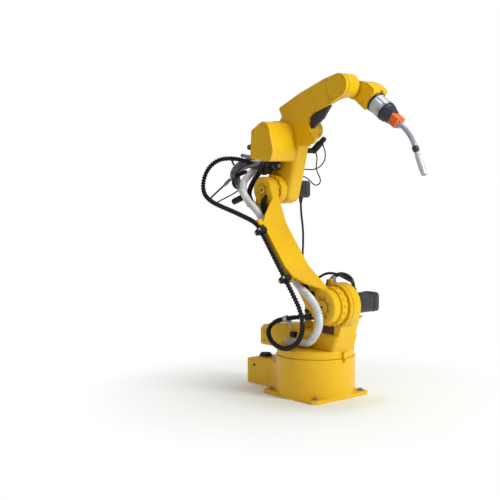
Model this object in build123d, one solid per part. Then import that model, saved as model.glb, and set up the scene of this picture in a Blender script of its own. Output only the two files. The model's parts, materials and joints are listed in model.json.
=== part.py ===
from build123d import *
import math
import os

# Six-axis arc welding robot arm with its torch, standing on the floor.
# Millimetres. X points to the front of the robot, Y to its left, Z up.
# The origin is on the floor, on the axis about which the whole arm turns.

# Joint axes and the pose in which the arm is modelled
shoulder_forward = 150.0     # swing axis ahead of the turning axis
shoulder_height = 380.0
lower_arm_length = 570.0     # shoulder axis to elbow axis
arm_lean = 38.0              # lower arm leans back by this angle
bend_forward = 343.0         # wrist bend axis ahead of the elbow axis
bend_above = 410.0           # wrist bend axis above the elbow axis
forearm_rise = 19.0          # forearm slopes up towards the wrist
torch_dip = 36.0             # tool flange axis points down by this angle

# Clearances
turn_gap = 1.5               # between housings that turn against each other
seat_gap = 0.3               # at the bearings inside that seam
bearing_inset = 14.0         # bearing edge inside the housing's edge

# Base
plate_size = 314.0
plate_thick = 14.0
plate_corner = 14.0
bolt_pitch = 260.0
bolt_hole = 18.0
drum_radius = 162.0
drum_height = 165.0
tail_reach = 352.0
tail_half_width = 62.0
tail_height = 105.0
tail_rise = 17.0
tail_flare_at = 212.0        # where the box's sides turn out to meet the drum
plate_bevel = 3.0
drum_bevel = 3.0
connector_inset = 71.0       # round cable socket on the box, from its back
connector_seat_x = connector_inset - tail_reach
connector_seat_top = 117.0
connector_radius = 27.0
connector_height = 13.0
connector_cup_radius = 17.0

# Turret
ring_radius = 158.0
ring_height = 30.0
turret_near = -55.0          # side of the turret that faces the lower arm
turret_far = 60.0
saddle_height = 265.0
upright_top = 336.0          # shoulder of the upright on the motor's side
boss_radius = 89.0
boss_near = -46.0
boss_far = 16.0
rear_housing_reach = 285.0
rear_housing_low = 172.0
rear_housing_high = 284.0
rear_housing_near = -46.0
rear_housing_far = 62.0
turret_edge_round = 14.0
boss_edge_round = 9.0
boss_flange = 14.0           # bolted flange of the boss, ahead of the groove round it
boss_groove = 3.0
cable_lug_at = 32.0          # lug on the boss, behind the shoulder axis

# Lower arm
arm_near = -116.0            # outer face of both hubs
web_thick = 36.0
shoulder_hub_radius = 70.0
elbow_hub_radius = 54.0
shoulder_ring_radius = 77.0
elbow_ring_radius = 50.0
duct_reach = 89.0            # how far the hose duct stands out from the hub face
duct_depth = 40.0
duct_wall = 8.0
hub_edge_round = 5.0
hub_recess = 3.0             # depth of the round recess in each hub's face

# Elbow housing and forearm
elbow_near = -28.0
elbow_far = 46.0
elbow_boss_near = -60.0
elbow_boss_radius = 60.0
side_block_near = -160.0
column_edge_round = 18.0
column_front = 122.0         # top of the column's front face, ahead of the elbow axis
knee_wall = 15.0             # near wall of the forearm, which hangs past the rest at the knee
cover_wall = 12.0            # black cable cover under the forearm
drive_centre_y = 25.0
drive_above = 243.0          # axis of the roll drive above the elbow axis
drive_radius = 33.0
drive_length = 38.0
drive_cap_radius = 37.0
drive_cap_length = 18.0
lobe_radius = 46.0
roll_split_back = 62.0       # roll joint behind the bend axis, along the forearm
forearm_half_height = 52.0
cover_thick = 14.0
cover_groove = 2.5
underside_rise = 34.0        # far edge of the forearm's underside above its near edge

# Wrist block and torch
wrist_block_near = 54.0
wrist_block_width = 80.0
wrist_block_length = 108.0
wrist_block_bevel = 3.0
wrist_pad_radius = 30.0
flange_radius = 42.0
flange_thick = 8.0
mount_radius = 40.0
mount_length = 58.0
mount_flutes = 8
mount_flute_depth = 2.6
mount_flute_radius = 14.0
mount_rim = 7.0
collar_length = 44.0
collar_ring_length = 15.0
collar_tip_radius = 29.0
clamp_length = 38.0
clamp_size = 44.0
neck_radius = 9.5
neck_bend = 30.0
neck_straight = 22.0
neck_turn_radius = 180.0
neck_drop = 2.0
neck_nut_radius = 14.0
neck_nut_length = 9.0
insulator_length = 26.0
nozzle_length = 92.0
nozzle_radius = 12.5
nozzle_waist_radius = 9.5
nozzle_tip_radius = 11.0
nozzle_bore_depth = 24.0
nozzle_bore_radius = 9.0
contact_tip_radius = 4.0

# Motors and hoses
shoulder_motor_size = 78.0
shoulder_motor_length = 158.0
elbow_motor_size = 72.0
elbow_motor_length = 84.0
motor_flange = 10.0
motor_cap_length = 26.0
motor_step = 3.0             # side of the motor's body inside its flange and cap
motor_plug_at = 46.0         # cable socket on the shoulder motor, from the boss
motor_plug_height = 13.0
motor_plug_radius = 9.0
black_hose = 20.0
silver_hose = 30.0
inner_hose = 24.0
motor_cable = 9.0
shoulder_cable = 10.0
signal_wire = 5.0
hose_play = 0.3              # round a hose inside its clamp
arm_hose_y = -221.0          # black hose beside the duct
arm_hose_depth = -8.0        # measured forwards from the arm's centre line
upper_clamp_at = lower_arm_length - 196.0    # along the arm from the shoulder axis
lower_clamp_at = 146.0
tab_above_clamp = 32.0
clamp_half_length = 11.0
clamp_half_width = 19.0
clamp_reach = 34.0
duct_hose_y = -160.0
duct_hose_top = lower_arm_length - 123.0
duct_hose_low = 150.0
inner_hose_y = -98.0         # thick black hose behind the elbow
inner_hose_depth = -78.0
inner_hose_end = lower_arm_length - 72.0

lean = math.radians(arm_lean)
rise = math.radians(forearm_rise)
dip = math.radians(torch_dip)
shoulder_x = shoulder_forward
shoulder_z = shoulder_height
elbow_x = shoulder_x - lower_arm_length * math.sin(lean)
elbow_z = shoulder_z + lower_arm_length * math.cos(lean)
bend_x = elbow_x + bend_forward
bend_z = elbow_z + bend_above
web_far = arm_near + web_thick
split_x = bend_x - roll_split_back * math.cos(rise)
split_z = bend_z - roll_split_back * math.sin(rise)
forearm_centre = (elbow_near + elbow_far) / 2
wrist_block_centre = wrist_block_near + wrist_block_width / 2
duct_near = arm_near - duct_reach
ring_low = drum_height + turn_gap
ring_top = ring_low + ring_height


def side_plane(x, y, z, turn=0.0):
    """Sketch plane seen from the robot's right side; its normal points to -Y."""
    angle = math.radians(turn)
    return Plane(origin=(x, y, z), x_dir=(math.cos(angle), 0, math.sin(angle)), z_dir=(0, -1, 0))


def slab(face, x, z, near, far, turn=0.0):
    """A side outline given thickness from y = near to y = far."""
    return extrude(side_plane(x, far, z, turn) * face, amount=far - near)


def disc(x, z, radius, near, far):
    return slab(Circle(radius), x, z, near, far)


def outline(points, rounds):
    """Closed outline with its corners rounded; rounds maps a corner's place in the list to a radius."""
    face = make_face(Polyline(*points, close=True))
    for index, radius in rounds.items():
        corner = Vector(*points[index])
        vertex = face.vertices().sort_by_distance(corner)[0]
        face = fillet(vertex, radius)
    return face


def tube(points, diameter, radii):
    """Round hose along straight runs joined by tangent arcs."""
    path = FilletPolyline(*points, radius=radii)
    start = Plane(origin=path @ 0, z_dir=path % 0)
    return sweep(start * Circle(diameter / 2), path=path)


def bend_radii(points):
    radii = []
    for before, here, after in zip(points, points[1:], points[2:]):
        a = Vector(*here) - Vector(*before)
        b = Vector(*after) - Vector(*here)
        turn = math.radians(a.get_angle(b))
        radii.append(0.45 * min(a.length, b.length) / math.tan(turn / 2))
    return radii


def hose(points, diameter):
    radii = bend_radii(points)
    print("hose radii", [round(radius) for radius in radii])
    return tube(points, diameter, radii)


def turned(place, profile):
    """Turned solid on a plane's normal; the profile lists (distance along it, radius)."""
    points = [(radius, distance) for distance, radius in profile]
    face = make_face(Polyline((0, profile[0][0]), *points, (0, profile[-1][0]), close=True))
    side = Plane(origin=place.origin, x_dir=place.x_dir, z_dir=place.x_dir.cross(place.z_dir))
    return revolve(side * face, axis=Axis(place.origin, place.z_dir))


# Base: floor plate, round drum and cable box at the back
def make_base():
    plate = Box(plate_size, plate_size, plate_thick, align=(Align.CENTER, Align.CENTER, Align.MIN))
    plate = chamfer(plate.edges().filter_by(Axis.Z), plate_corner)
    plate = chamfer(plate.edges().group_by(Axis.Z)[-1], plate_bevel)
    drum = Cylinder(drum_radius, drum_height, align=(Align.CENTER, Align.CENTER, Align.MIN))
    drum = chamfer(drum.edges().group_by(Axis.Z)[-1], drum_bevel)
    tail_top = tail_height + tail_rise
    profile = outline(
        [(0, 0), (0, tail_top), (-tail_reach / 2, tail_top), (-tail_reach, tail_height), (-tail_reach, 0)],
        {3: 10},
    )
    tail = slab(profile, 0, 0, -tail_half_width, tail_half_width)
    reach = math.hypot(tail_flare_at, tail_half_width)
    turn = math.atan2(tail_half_width, tail_flare_at) + math.acos(drum_radius / reach)
    touch = (-drum_radius * math.cos(turn), drum_radius * math.sin(turn))
    plan = make_face(Polyline(
        (touch[0], -touch[1]), (-tail_flare_at, -tail_half_width), (-tail_flare_at, tail_half_width), touch,
        close=True))
    flare = extrude(plan, amount=tail_top) & slab(profile, 0, 0, -drum_radius, drum_radius)
    seat = Pos(connector_seat_x, -20, 0) * Cylinder(
        connector_radius + 3, connector_seat_top, align=(Align.CENTER, Align.CENTER, Align.MIN))
    hole = Cylinder(bolt_hole / 2, plate_thick * 3)
    relief = Pos(0, 0, plate_thick) * Cylinder(
        bolt_hole, drum_height, align=(Align.CENTER, Align.CENTER, Align.MIN))
    body = plate + drum + tail + flare + seat
    for place in GridLocations(bolt_pitch, bolt_pitch, 2, 2):
        body = body - place * hole - place * relief
    return body


def make_base_connector():
    """Low round cable socket on the box, with its contact block inside the cup."""
    body = turned(Plane(origin=(connector_seat_x, -20, connector_seat_top)), [
        (0, connector_radius), (5, connector_radius), (5, connector_radius - 3),
        (connector_height - 2, connector_radius - 3), (connector_height, connector_radius - 5)])
    cup = Pos(connector_seat_x, -20, connector_seat_top + 5) * Cylinder(
        connector_cup_radius, connector_height, align=(Align.CENTER, Align.CENTER, Align.MIN))
    block = Pos(connector_seat_x, -20, connector_seat_top + 4) * Cylinder(
        connector_cup_radius - 6, 5, align=(Align.CENTER, Align.CENTER, Align.MIN))
    return body - cup + block


def zero_mark(low, high, radius):
    """Small block with a witness face, fixed to a round casting of this radius."""
    block = Pos(radius, 0, low) * Box(22, 18, high - low, align=(Align.CENTER, Align.CENTER, Align.MIN))
    return block - Cylinder(radius, 4 * high)


def make_base_mark():
    return zero_mark(drum_height - 12, drum_height - 4, drum_radius)


def make_turret_mark():
    return zero_mark(ring_low + 1, ring_low + ring_height - 3, ring_radius)


# Turret: bearing ring, saddle and shoulder boss
def saddle_outline():
    return outline(
        [(-70, ring_top - 6), (150, ring_top - 6), (176, saddle_height), (-45, saddle_height)],
        {2: 10},
    )


def front_edges(body, y, reach):
    """Long edges of a slab's outline on the side at this y, ahead of this reach."""
    edges = [edge for edge in body.edges() if abs(edge.center().Y - y) < 0.01 and edge.length > 60]
    return [edge for edge in edges if edge.center().X > reach]


def make_turret():
    ring = Pos(0, 0, ring_low) * Cylinder(ring_radius, ring_height, align=(Align.CENTER, Align.CENTER, Align.MIN))
    ring = chamfer(ring.edges().group_by(Axis.Z)[-1], drum_bevel)
    saddle = slab(saddle_outline(), 0, 0, turret_near, turret_far)
    saddle = fillet(front_edges(saddle, turret_near, 155), turret_edge_round)
    upright_face = outline(
        [(10, ring_top - 6), (150, ring_top - 6), (196, shoulder_z - 52),
         (shoulder_x + boss_radius - 14, shoulder_z), (shoulder_x, shoulder_z),
         (shoulder_x - boss_radius + 4, shoulder_z)],
        {2: 30},
    )
    upright = slab(upright_face, 0, 0, boss_near, boss_far)
    rib_face = outline(
        [(20, ring_top - 6), (150, ring_top - 6), (196, upright_top - 8), (206, upright_top), (40, upright_top)],
        {4: 20},
    )
    rib = slab(rib_face, 0, 0, boss_near, turret_far)
    rib = fillet(front_edges(rib, turret_far, 155), turret_edge_round)
    boss = disc(shoulder_x, shoulder_z, boss_radius, boss_near, boss_far)
    boss = fillet(boss.edges().group_by(Axis.Y)[-1], boss_edge_round)
    boss = chamfer(boss.edges().group_by(Axis.Y)[0], 2)
    groove_at = boss_near + boss_flange
    groove = disc(shoulder_x, shoulder_z, boss_radius + 5, groove_at, groove_at + boss_groove)
    boss = boss - (groove - disc(shoulder_x, shoulder_z, boss_radius - boss_groove, groove_at, groove_at + boss_groove))
    lug_x = shoulder_x - cable_lug_at
    lug = Pos(lug_x, boss_near + 12, shoulder_z + 80) * Box(14, 14, 44)
    lug = fillet(lug.edges().group_by(Axis.Z)[-1], 3)
    bearing = Pos(0, 0, drum_height + seat_gap) * Cylinder(
        ring_radius - bearing_inset, ring_height, align=(Align.CENTER, Align.CENTER, Align.MIN))
    return saddle + upright + rib + boss + ring + bearing + lug


def make_rear_housing():
    face = outline(
        [(-rear_housing_reach, rear_housing_low), (-60, rear_housing_low), (-45, saddle_height),
         (-45, rear_housing_high), (-rear_housing_reach + 20, rear_housing_high - 26),
         (-rear_housing_reach, rear_housing_high - 44)],
        {0: 12, 4: 8, 5: 8},
    )
    housing = slab(face, 0, 0, rear_housing_near, rear_housing_far)
    saddle = slab(saddle_outline(), 0, 0, turret_near, turret_far)
    return housing - saddle - Cylinder(ring_radius + seat_gap, 2 * (ring_top + seat_gap))


def make_rear_plug_black():
    return slab(RectangleRounded(28, 20, 3), -74, 240, rear_housing_near - 16, rear_housing_near)


def make_rear_plug_grey():
    """Socket of the silver hose, low on the rear housing."""
    x, y, z = silver_lower[-1]
    body = slab(RectangleRounded(44, 26, 4), x - 32, z, y - 17, rear_housing_near)
    nose = extrude(Plane(origin=(x, y, z), z_dir=(-1, 0, 0)) * Circle(silver_hose / 2 + 1), amount=20)
    return body + nose - make_turret()


def make_hose_clamp_rear():
    """Stirrup on the rear housing that holds the black hose."""
    leg = Pos(-101, rear_housing_near, 262) * Box(20, 40, 26, align=(Align.CENTER, Align.CENTER, Align.MIN))
    arch = Pos(-101, rear_housing_near - 25, 302) * Box(20, 38, 34)
    body = leg + arch
    return body - make_rear_housing() - hose(black_lower, black_hose + 2 * hose_play)


def make_turret_gland():
    """Socket on the upright where the black hose ends."""
    along = Vector(*black_lower[-1]) - Vector(*black_lower[-2])
    body = extrude(Plane(origin=black_lower[-1], z_dir=along) * Circle(black_hose / 2 + 4), amount=90)
    pieces = (body - make_turret()).solids()
    return pieces.sort_by_distance(black_lower[-1])[0]


# Lower arm: two hubs, a bowed web and the hose duct on its near side
def make_lower_arm():
    length = lower_arm_length
    web_face = outline(
        [(48, 40), (6, 190), (4, length - 170), (44, length - 26), (20, length + 20), (-30, length + 20),
         (-70, length - 16), (-52, length - 70), (-54, length - 170), (-79, 190), (-79, 40), (-40, -20), (30, -20)],
        {1: 160, 2: 160, 3: 30, 7: 60, 8: 150, 9: 120, 10: 40},
    )
    whole = web_face + Circle(shoulder_hub_radius) + Pos(0, length) * Circle(elbow_hub_radius)
    body = slab(whole, shoulder_x, shoulder_z, arm_near, web_far, arm_lean)
    rim = [edge for edge in body.edges() if abs(edge.center().Y - arm_near) < 0.01]
    body = chamfer([edge for edge in rim if edge.bounding_box().size.Y < 0.01], hub_edge_round)
    for x, z, outer, inner in [(shoulder_x, shoulder_z, 46, 17), (elbow_x, elbow_z, 31, 13)]:
        recess = disc(x, z, outer, arm_near - 1, arm_near + hub_recess)
        body = body - (recess - disc(x, z, inner, arm_near - 1, arm_near + hub_recess))
    lug = slab(Rectangle(50, 26), *arm_point(inner_hose_end - 13, -68, 0)[::2], arm_near + 2, web_far - 2, arm_lean)
    plate = web_face - Pos(-duct_wall, 0) * web_face
    wall = web_face - Pos(-duct_depth, 0) * web_face
    duct = slab(plate, shoulder_x, shoulder_z, duct_near, arm_near, arm_lean)
    duct = duct + slab(wall, shoulder_x, shoulder_z, duct_near, duct_near + duct_wall, arm_lean)
    plan = make_face(Polyline(
        (arm_near, 60), (arm_near - 55, 98), (duct_near, 140), (duct_near, length - 170),
        (arm_near - 62, length - 130), (arm_near, length - 65), close=True))
    front = Plane(
        origin=(shoulder_x, 0, shoulder_z), x_dir=(0, 1, 0),
        z_dir=(math.cos(lean), 0, math.sin(lean)))
    duct = duct & extrude(front.offset(-60) * plan, amount=140)
    root = slab(plate, shoulder_x, shoulder_z, arm_near, arm_near + hub_edge_round + 1, arm_lean)
    root_plan = make_face(Polyline(
        (arm_near, 60), (arm_near, length - 65), (arm_near + hub_edge_round + 1, length - 65),
        (arm_near + hub_edge_round + 1, 60), close=True))
    root = root & extrude(front.offset(-60) * root_plan, amount=140)
    return body + lug + duct + root


def arm_point(along, depth, y):
    """Point beside the lower arm: along it from the shoulder axis, and forwards from its centre line."""
    x = shoulder_x - along * math.sin(lean) + depth * math.cos(lean)
    z = shoulder_z + along * math.cos(lean) + depth * math.sin(lean)
    return (x, y, z)


def channel_depth(along):
    """The silver hose slants a little from the back of the duct's top to the front of its foot."""
    return -21 - (along - 116) * 10 / 331


def arm_hose_clamp(at):
    """Clamp on the duct's near wall round the black hose."""
    face = RectangleRounded(2 * clamp_half_width, 2 * clamp_half_length, 5)
    x, _, z = arm_point(at, arm_hose_depth, 0)
    block = slab(face, x, z, duct_near - clamp_reach, duct_near, arm_lean)
    start = Vector(*arm_point(at - 30, arm_hose_depth, arm_hose_y))
    end = Vector(*arm_point(at + 30, arm_hose_depth, arm_hose_y))
    bore = Plane(origin=start, z_dir=end - start) * Circle(black_hose / 2 + hose_play)
    return block - extrude(bore, amount=60)


def make_hose_tab():
    """Small lug beside the upper clamp."""
    x, _, z = arm_point(upper_clamp_at + tab_above_clamp, 8, 0)
    return slab(Rectangle(7, 26), x, z, duct_near - 26, duct_near, arm_lean)


def make_shoulder_ring():
    ring = disc(shoulder_x, shoulder_z, shoulder_ring_radius, web_far, boss_near - turn_gap)
    return ring + disc(shoulder_x, shoulder_z, shoulder_ring_radius - bearing_inset, web_far, boss_near - seat_gap)


def make_elbow_ring():
    ring = disc(elbow_x, elbow_z, elbow_ring_radius, web_far, elbow_boss_near - turn_gap)
    return ring + disc(elbow_x, elbow_z, elbow_ring_radius - bearing_inset, web_far, elbow_boss_near - seat_gap)


# Elbow housing and forearm, one boomerang-shaped casting
def forearm_end():
    """Corners of the forearm's end at the roll joint, from the elbow axis: low, then high."""
    x, z = split_x - elbow_x, split_z - elbow_z
    side = forearm_half_height * math.sin(rise)
    up = forearm_half_height * math.cos(rise)
    return (x + side, z - up), (x - side, z + up)


def knee_roof():
    """Back and front of the recess under the forearm, where the cable cover sits."""
    low_end, _ = forearm_end()
    return (150, 331), (low_end[0] - 12, low_end[1] - 4)


def underside_cut(start, end, near, rise_start, rise_end):
    """Wedge off the far side of an underside that runs from start to end, in the side view."""
    faces = []
    along = Vector(end[0] - start[0], 0, end[1] - start[1]).normalized()
    for point, height in ((start, rise_start), (end, rise_end)):
        plane = Plane(origin=(point[0], near, point[1]), x_dir=(0, 1, 0), z_dir=along)
        sign = 1 if plane.y_dir.Z > 0 else -1
        width = elbow_far - near + 10
        faces.append(plane * make_face(Polyline(
            (0, 0), (width, sign * height), (width, -20 * sign), (0, -20 * sign), close=True)))
    return loft(faces)


def make_upper_arm():
    x0, z0 = elbow_x, elbow_z
    column_face = outline(
        [(20, -58), (58, -44), (93, 80), (column_front, 190), (column_front, 280), (-40, 284), (-64, 160),
         (-64, -20), (-30, -58)],
        {0: 20, 1: 26, 6: 30, 7: 30, 8: 30},
    )
    column = slab(column_face, x0, z0, elbow_near, elbow_far)
    for side in (elbow_near, elbow_far):
        edges = [edge for edge in front_edges(column, side, x0 + 62) if edge.center().Z < z0 + 200]
        column = fillet(edges, column_edge_round)
    low_end, top_end = forearm_end()
    crest = (5 + 0.48 * (top_end[0] - 5), 341 + 0.48 * (top_end[1] - 335))
    forearm_face = outline(
        [low_end, top_end, crest, (5, 335), (26, 301), (0, 270), (100, 176), (205, 187), (221, 206),
         (190, 236), (174, 268), (181, 296), (206, 310)],
        {2: 150, 3: 8, 6: 20, 7: 8, 8: 4, 9: 14, 10: 20, 11: 14, 12: 30},
    )
    forearm = slab(forearm_face, x0, z0, elbow_near, elbow_far)
    roof_back, roof_front = knee_roof()
    recess_face = make_face(Polyline(
        (column_front, 120), (column_front, roof_back[1] - 28), roof_back, roof_front,
        (low_end[0] + 40, low_end[1] + 8), (low_end[0] + 40, 120), close=True))
    recess = slab(recess_face, x0, z0, elbow_near + knee_wall, elbow_far + 40)
    cut_start = (x0 + roof_front[0] - 50, z0 + roof_front[1] - 2)
    cut_end = (x0 + low_end[0] + 4, z0 + low_end[1] + 1)
    slope = underside_cut(cut_start, cut_end, elbow_near + knee_wall, underside_rise, underside_rise)
    boss = disc(x0, z0, elbow_boss_radius, elbow_boss_near, elbow_near)
    boss = chamfer(boss.edges().group_by(Axis.Y)[0], 2)
    return column + (forearm - recess - slope) + boss


def make_side_block():
    face = outline(
        [(-24, 129), (-18, 242), (46, 277), (79, 269), (91, 249), (116, 159), (99, 114)],
        {0: 10, 1: 12, 2: 14, 3: 12, 4: 30, 5: 42, 6: 14},
    )
    block = slab(face, elbow_x, elbow_z, side_block_near, elbow_near)
    return fillet(block.edges().group_by(Axis.Y)[0], 4)


def make_cable_cover():
    """Black cover over the cable entry, in the recess under the forearm."""
    back, front = knee_roof()
    drive_end = column_front + drive_length + drive_cap_length
    foot = drive_above + drive_cap_radius + 1
    face = outline(
        [(drive_end + 1, 249), (drive_end + 1, foot), (back[0], foot), (back[0], back[1] - seat_gap),
         (front[0], front[1] - seat_gap), (front[0] - 21, front[1] - 25), (248, 286), (188, 246)],
        {6: 30},
    )
    near = elbow_near + knee_wall
    return slab(face, elbow_x, elbow_z, near, near + cover_wall)


def drive_plane(distance):
    """Plane square to the roll drive's axis, this far ahead of the column's front face."""
    return Plane(
        origin=(elbow_x + column_front + distance, drive_centre_y, elbow_z + drive_above),
        x_dir=(0, 1, 0), z_dir=(1, 0, 0))


def make_drive_housing():
    return turned(drive_plane(0), [
        (0, drive_radius), (drive_length - 8, drive_radius), (drive_length - 6, drive_radius - 2),
        (drive_length, drive_radius - 2)])


def make_drive_cap():
    """Round end cap of the roll drive, with a shallow dish in its face."""
    body = turned(drive_plane(drive_length), [
        (0, drive_cap_radius), (drive_cap_length - 4, drive_cap_radius), (drive_cap_length, drive_cap_radius - 4)])
    dish = drive_plane(drive_length + drive_cap_length - 1.5) * Circle(drive_cap_radius - 9)
    return body - extrude(dish, amount=5)


def make_drive_connector():
    """Plug that stands off the column's far side and points up and forwards."""
    slope = Vector(0.79, 0, 0.613)
    foot = Vector(*elbow_point(*drive_plug_foot))
    body = turned(Plane(origin=foot, x_dir=(0, 1, 0), z_dir=slope), [
        (0, 12), (3, 14), (20, 14), (20, 12.5), (24, 12.5), (24, 14), (52, 14), (55, 12), (58, 12), (58, 11),
        (82, 11), (86, 9)])
    stand = Plane(origin=(foot.X + 4, elbow_far, foot.Z + 3), z_dir=(0, 1, 0)) * Circle(11)
    return body + extrude(stand, amount=foot.Y - elbow_far)


def make_elbow_plug_black():
    """Cluster of hose couplings along the column's near side."""
    start = Vector(*black_upper[0])
    body = turned(Plane(origin=start, x_dir=(0, 1, 0), z_dir=(1, 0, 0)), [
        (0, 13), (12, 13), (12, 17), (30, 17), (30, 14), (36, 14), (36, 18), (68, 18), (68, 13), (76, 13),
        (76, 16), (90, 16), (92, 14)])
    foot_depth = elbow_near - start.Y
    foot = Pos(start.X + 53, elbow_near - foot_depth / 2, start.Z) * Box(26, foot_depth, 26)
    inner_start = Vector(*inner_hose_route[0])
    inner_back = inner_start - Vector(*inner_hose_route[1])
    elbow = extrude(Plane(origin=inner_start, z_dir=inner_back) * Circle(inner_hose / 2 + 2), amount=34)
    passage = Plane(origin=black_upper[1], z_dir=(1, 0, 0)) * Circle(black_hose / 2 + hose_play)
    return body + foot + (elbow - extrude(passage, amount=black_upper[0][0] - black_upper[1][0]))


def make_elbow_plug_grey():
    """Coupling of the silver hose at the back of the column."""
    start = Vector(*silver_upper[0])
    back = Vector(*silver_upper[0]) - Vector(*silver_upper[1])
    body = extrude(Plane(origin=start, z_dir=back) * Circle(silver_hose / 2 + 3), amount=50)
    return body - make_upper_arm()


# Wrist: roll housing with the bend lobe and its cover
def wrist_lobe_face():
    along = Vector(math.cos(rise), math.sin(rise))
    across = Vector(-math.sin(rise), math.cos(rise))
    back = roll_split_back - turn_gap
    centre = Vector(0, 0)
    face = make_face(Polyline(
        centre - along * back - across * forearm_half_height,
        centre - along * back + across * forearm_half_height,
        centre + across * lobe_radius,
        centre - across * lobe_radius,
        close=True))
    return face + Circle(lobe_radius)


def make_roll_housing():
    near = elbow_near + cover_thick + cover_groove
    housing = slab(wrist_lobe_face(), bend_x, bend_z, near, elbow_far)
    axle_start = (split_x + seat_gap * math.cos(rise), forearm_centre, split_z + seat_gap * math.sin(rise))
    axle = Plane(origin=axle_start, x_dir=(0, 1, 0), z_dir=(math.cos(rise), 0, math.sin(rise)))
    low_end, _ = forearm_end()
    cut_start = (elbow_x + low_end[0] - 4, elbow_z + low_end[1] - 1)
    cut_end = (bend_x + (lobe_radius + 1) * math.sin(rise), bend_z - (lobe_radius + 1) * math.cos(rise))
    slope = underside_cut(cut_start, cut_end, near + 4, underside_rise, 2)
    return housing - slope + extrude(axle * Circle(forearm_centre - near - 1), amount=2 * turn_gap)


def make_roll_cover():
    cover = slab(wrist_lobe_face(), bend_x, bend_z, elbow_near, elbow_near + cover_thick)
    spigot = disc(bend_x, bend_z, lobe_radius - 8, elbow_near + cover_thick,
                  elbow_near + cover_thick + cover_groove)
    return cover + spigot


def make_bend_block():
    """Block that swings about the bend axis and carries the tool flange."""
    long = wrist_block_length
    face = outline(
        [(long, -38), (long, 44), (long - 8, 53), (58, 52), (30, 42), (6, 30), (-24, 0), (-36, -16), (-30, -36),
         (0, -46), (20, -45), (44, -37)],
        {2: 6, 4: 30, 5: 40, 6: 20, 7: 16, 8: 16, 9: 20, 11: 30},
    )
    far = wrist_block_near + wrist_block_width
    block = slab(face, bend_x, bend_z, wrist_block_near, far, -torch_dip)
    block = chamfer(block.edges().group_by(Axis.Y)[-1], wrist_block_bevel)
    stop_low = flange_radius + 5.5
    stop_face = make_face(Polyline(
        (long - 16, stop_low - 4), (long, stop_low - 4), (long, stop_low), (long + 12, stop_low),
        (long + 12, stop_low + 7), (long - 16, stop_low + 4), close=True))
    stop = slab(stop_face, bend_x, bend_z, far - 40, far - 20, -torch_dip)
    pad = disc(bend_x, bend_z, wrist_pad_radius, elbow_far + seat_gap, wrist_block_near)
    return block + pad + stop


def tool_plane(distance):
    """Plane square to the tool flange axis, this far from the bend axis."""
    return Plane(
        origin=(bend_x + distance * math.cos(dip), wrist_block_centre, bend_z - distance * math.sin(dip)),
        x_dir=(0, 1, 0), z_dir=(math.cos(dip), 0, -math.sin(dip)))


flange_start = wrist_block_length + turn_gap
mount_start = flange_start + flange_thick
collar_start = mount_start + mount_length
clamp_start = collar_start + collar_length
neck_start = clamp_start + clamp_length


def make_tool_flange():
    flange = extrude(tool_plane(flange_start) * Circle(flange_radius), amount=flange_thick)
    bearing = tool_plane(wrist_block_length + seat_gap) * Circle(flange_radius - bearing_inset)
    return flange + extrude(bearing, amount=flange_thick)


def make_torch_mount():
    """Aluminium housing with wide flutes along its side, behind a plain rim."""
    body = extrude(tool_plane(mount_start) * Circle(mount_radius), amount=mount_length)
    start = tool_plane(mount_start + mount_rim).location
    reach = mount_radius + mount_flute_radius - mount_flute_depth
    for index in range(mount_flutes):
        place = start * Rot(0, 0, index * 360 / mount_flutes) * Pos(reach, 0, 0)
        body = body - extrude(place * Circle(mount_flute_radius), amount=mount_length)
    return body


def make_torch_collar():
    """Moulded collar: a plain ring, a step and a cone."""
    ring = mount_radius - 2
    return turned(tool_plane(collar_start), [
        (0, ring - 1), (1, ring), (collar_ring_length, ring), (collar_ring_length + 1, ring - 3),
        (collar_ring_length + 4, ring - 3), (collar_length, collar_tip_radius)])


def make_torch_clamp():
    """Block clamp round the torch neck, split along its outer side."""
    block = extrude(tool_plane(clamp_start) * RectangleRounded(clamp_size, clamp_size, 6), amount=clamp_length)
    slot = extrude(tool_plane(clamp_start + 8) * Pos(0, clamp_size / 2) * Rectangle(2.4, 16), amount=clamp_length)
    return block - slot


def tool_point(distance, drop):
    plane = tool_plane(distance)
    point = plane.origin + plane.y_dir * drop
    return (point.X, point.Y, point.Z)


def neck_path():
    bend = math.radians(neck_bend)
    tangent = neck_turn_radius * math.tan(bend / 2)
    corner = neck_start + neck_straight + tangent
    leg = tangent + neck_drop
    sign = 1 if tool_plane(0).y_dir.Z < 0 else -1
    start = tool_point(neck_start, 0)
    middle = tool_point(corner, 0)
    end = tool_point(corner + leg * math.cos(bend), sign * leg * math.sin(bend))
    return FilletPolyline(start, middle, end, radius=neck_turn_radius)


def make_torch_neck():
    """Bent tube with the hexagon nut that holds it in the clamp."""
    path = neck_path()
    neck = sweep(Plane(origin=path @ 0, z_dir=path % 0) * Circle(neck_radius), path=path)
    return neck + extrude(tool_plane(neck_start) * RegularPolygon(neck_nut_radius, 6), amount=neck_nut_length)


def nozzle_plane(distance):
    path = neck_path()
    direction = path % 1
    return Plane(origin=(path @ 1) + direction * distance, x_dir=(0, 1, 0), z_dir=direction)


def make_torch_insulator():
    wide = nozzle_radius + 0.5
    return turned(nozzle_plane(0), [
        (0, neck_radius + 1), (2, wide), (insulator_length - 8, wide), (insulator_length - 6, nozzle_waist_radius),
        (insulator_length, nozzle_waist_radius)])


def make_torch_nozzle():
    """Gas nozzle: narrow where it screws on, then wide, with a slight taper to its open end."""
    body = turned(nozzle_plane(insulator_length), [
        (0, nozzle_waist_radius + 0.5), (6, nozzle_waist_radius + 0.5), (18, nozzle_radius),
        (nozzle_length - 16, nozzle_radius), (nozzle_length, nozzle_tip_radius)])
    bottom = nozzle_plane(insulator_length + nozzle_length - nozzle_bore_depth)
    return body - extrude(bottom * Circle(nozzle_bore_radius), amount=nozzle_bore_depth + 5)


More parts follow.
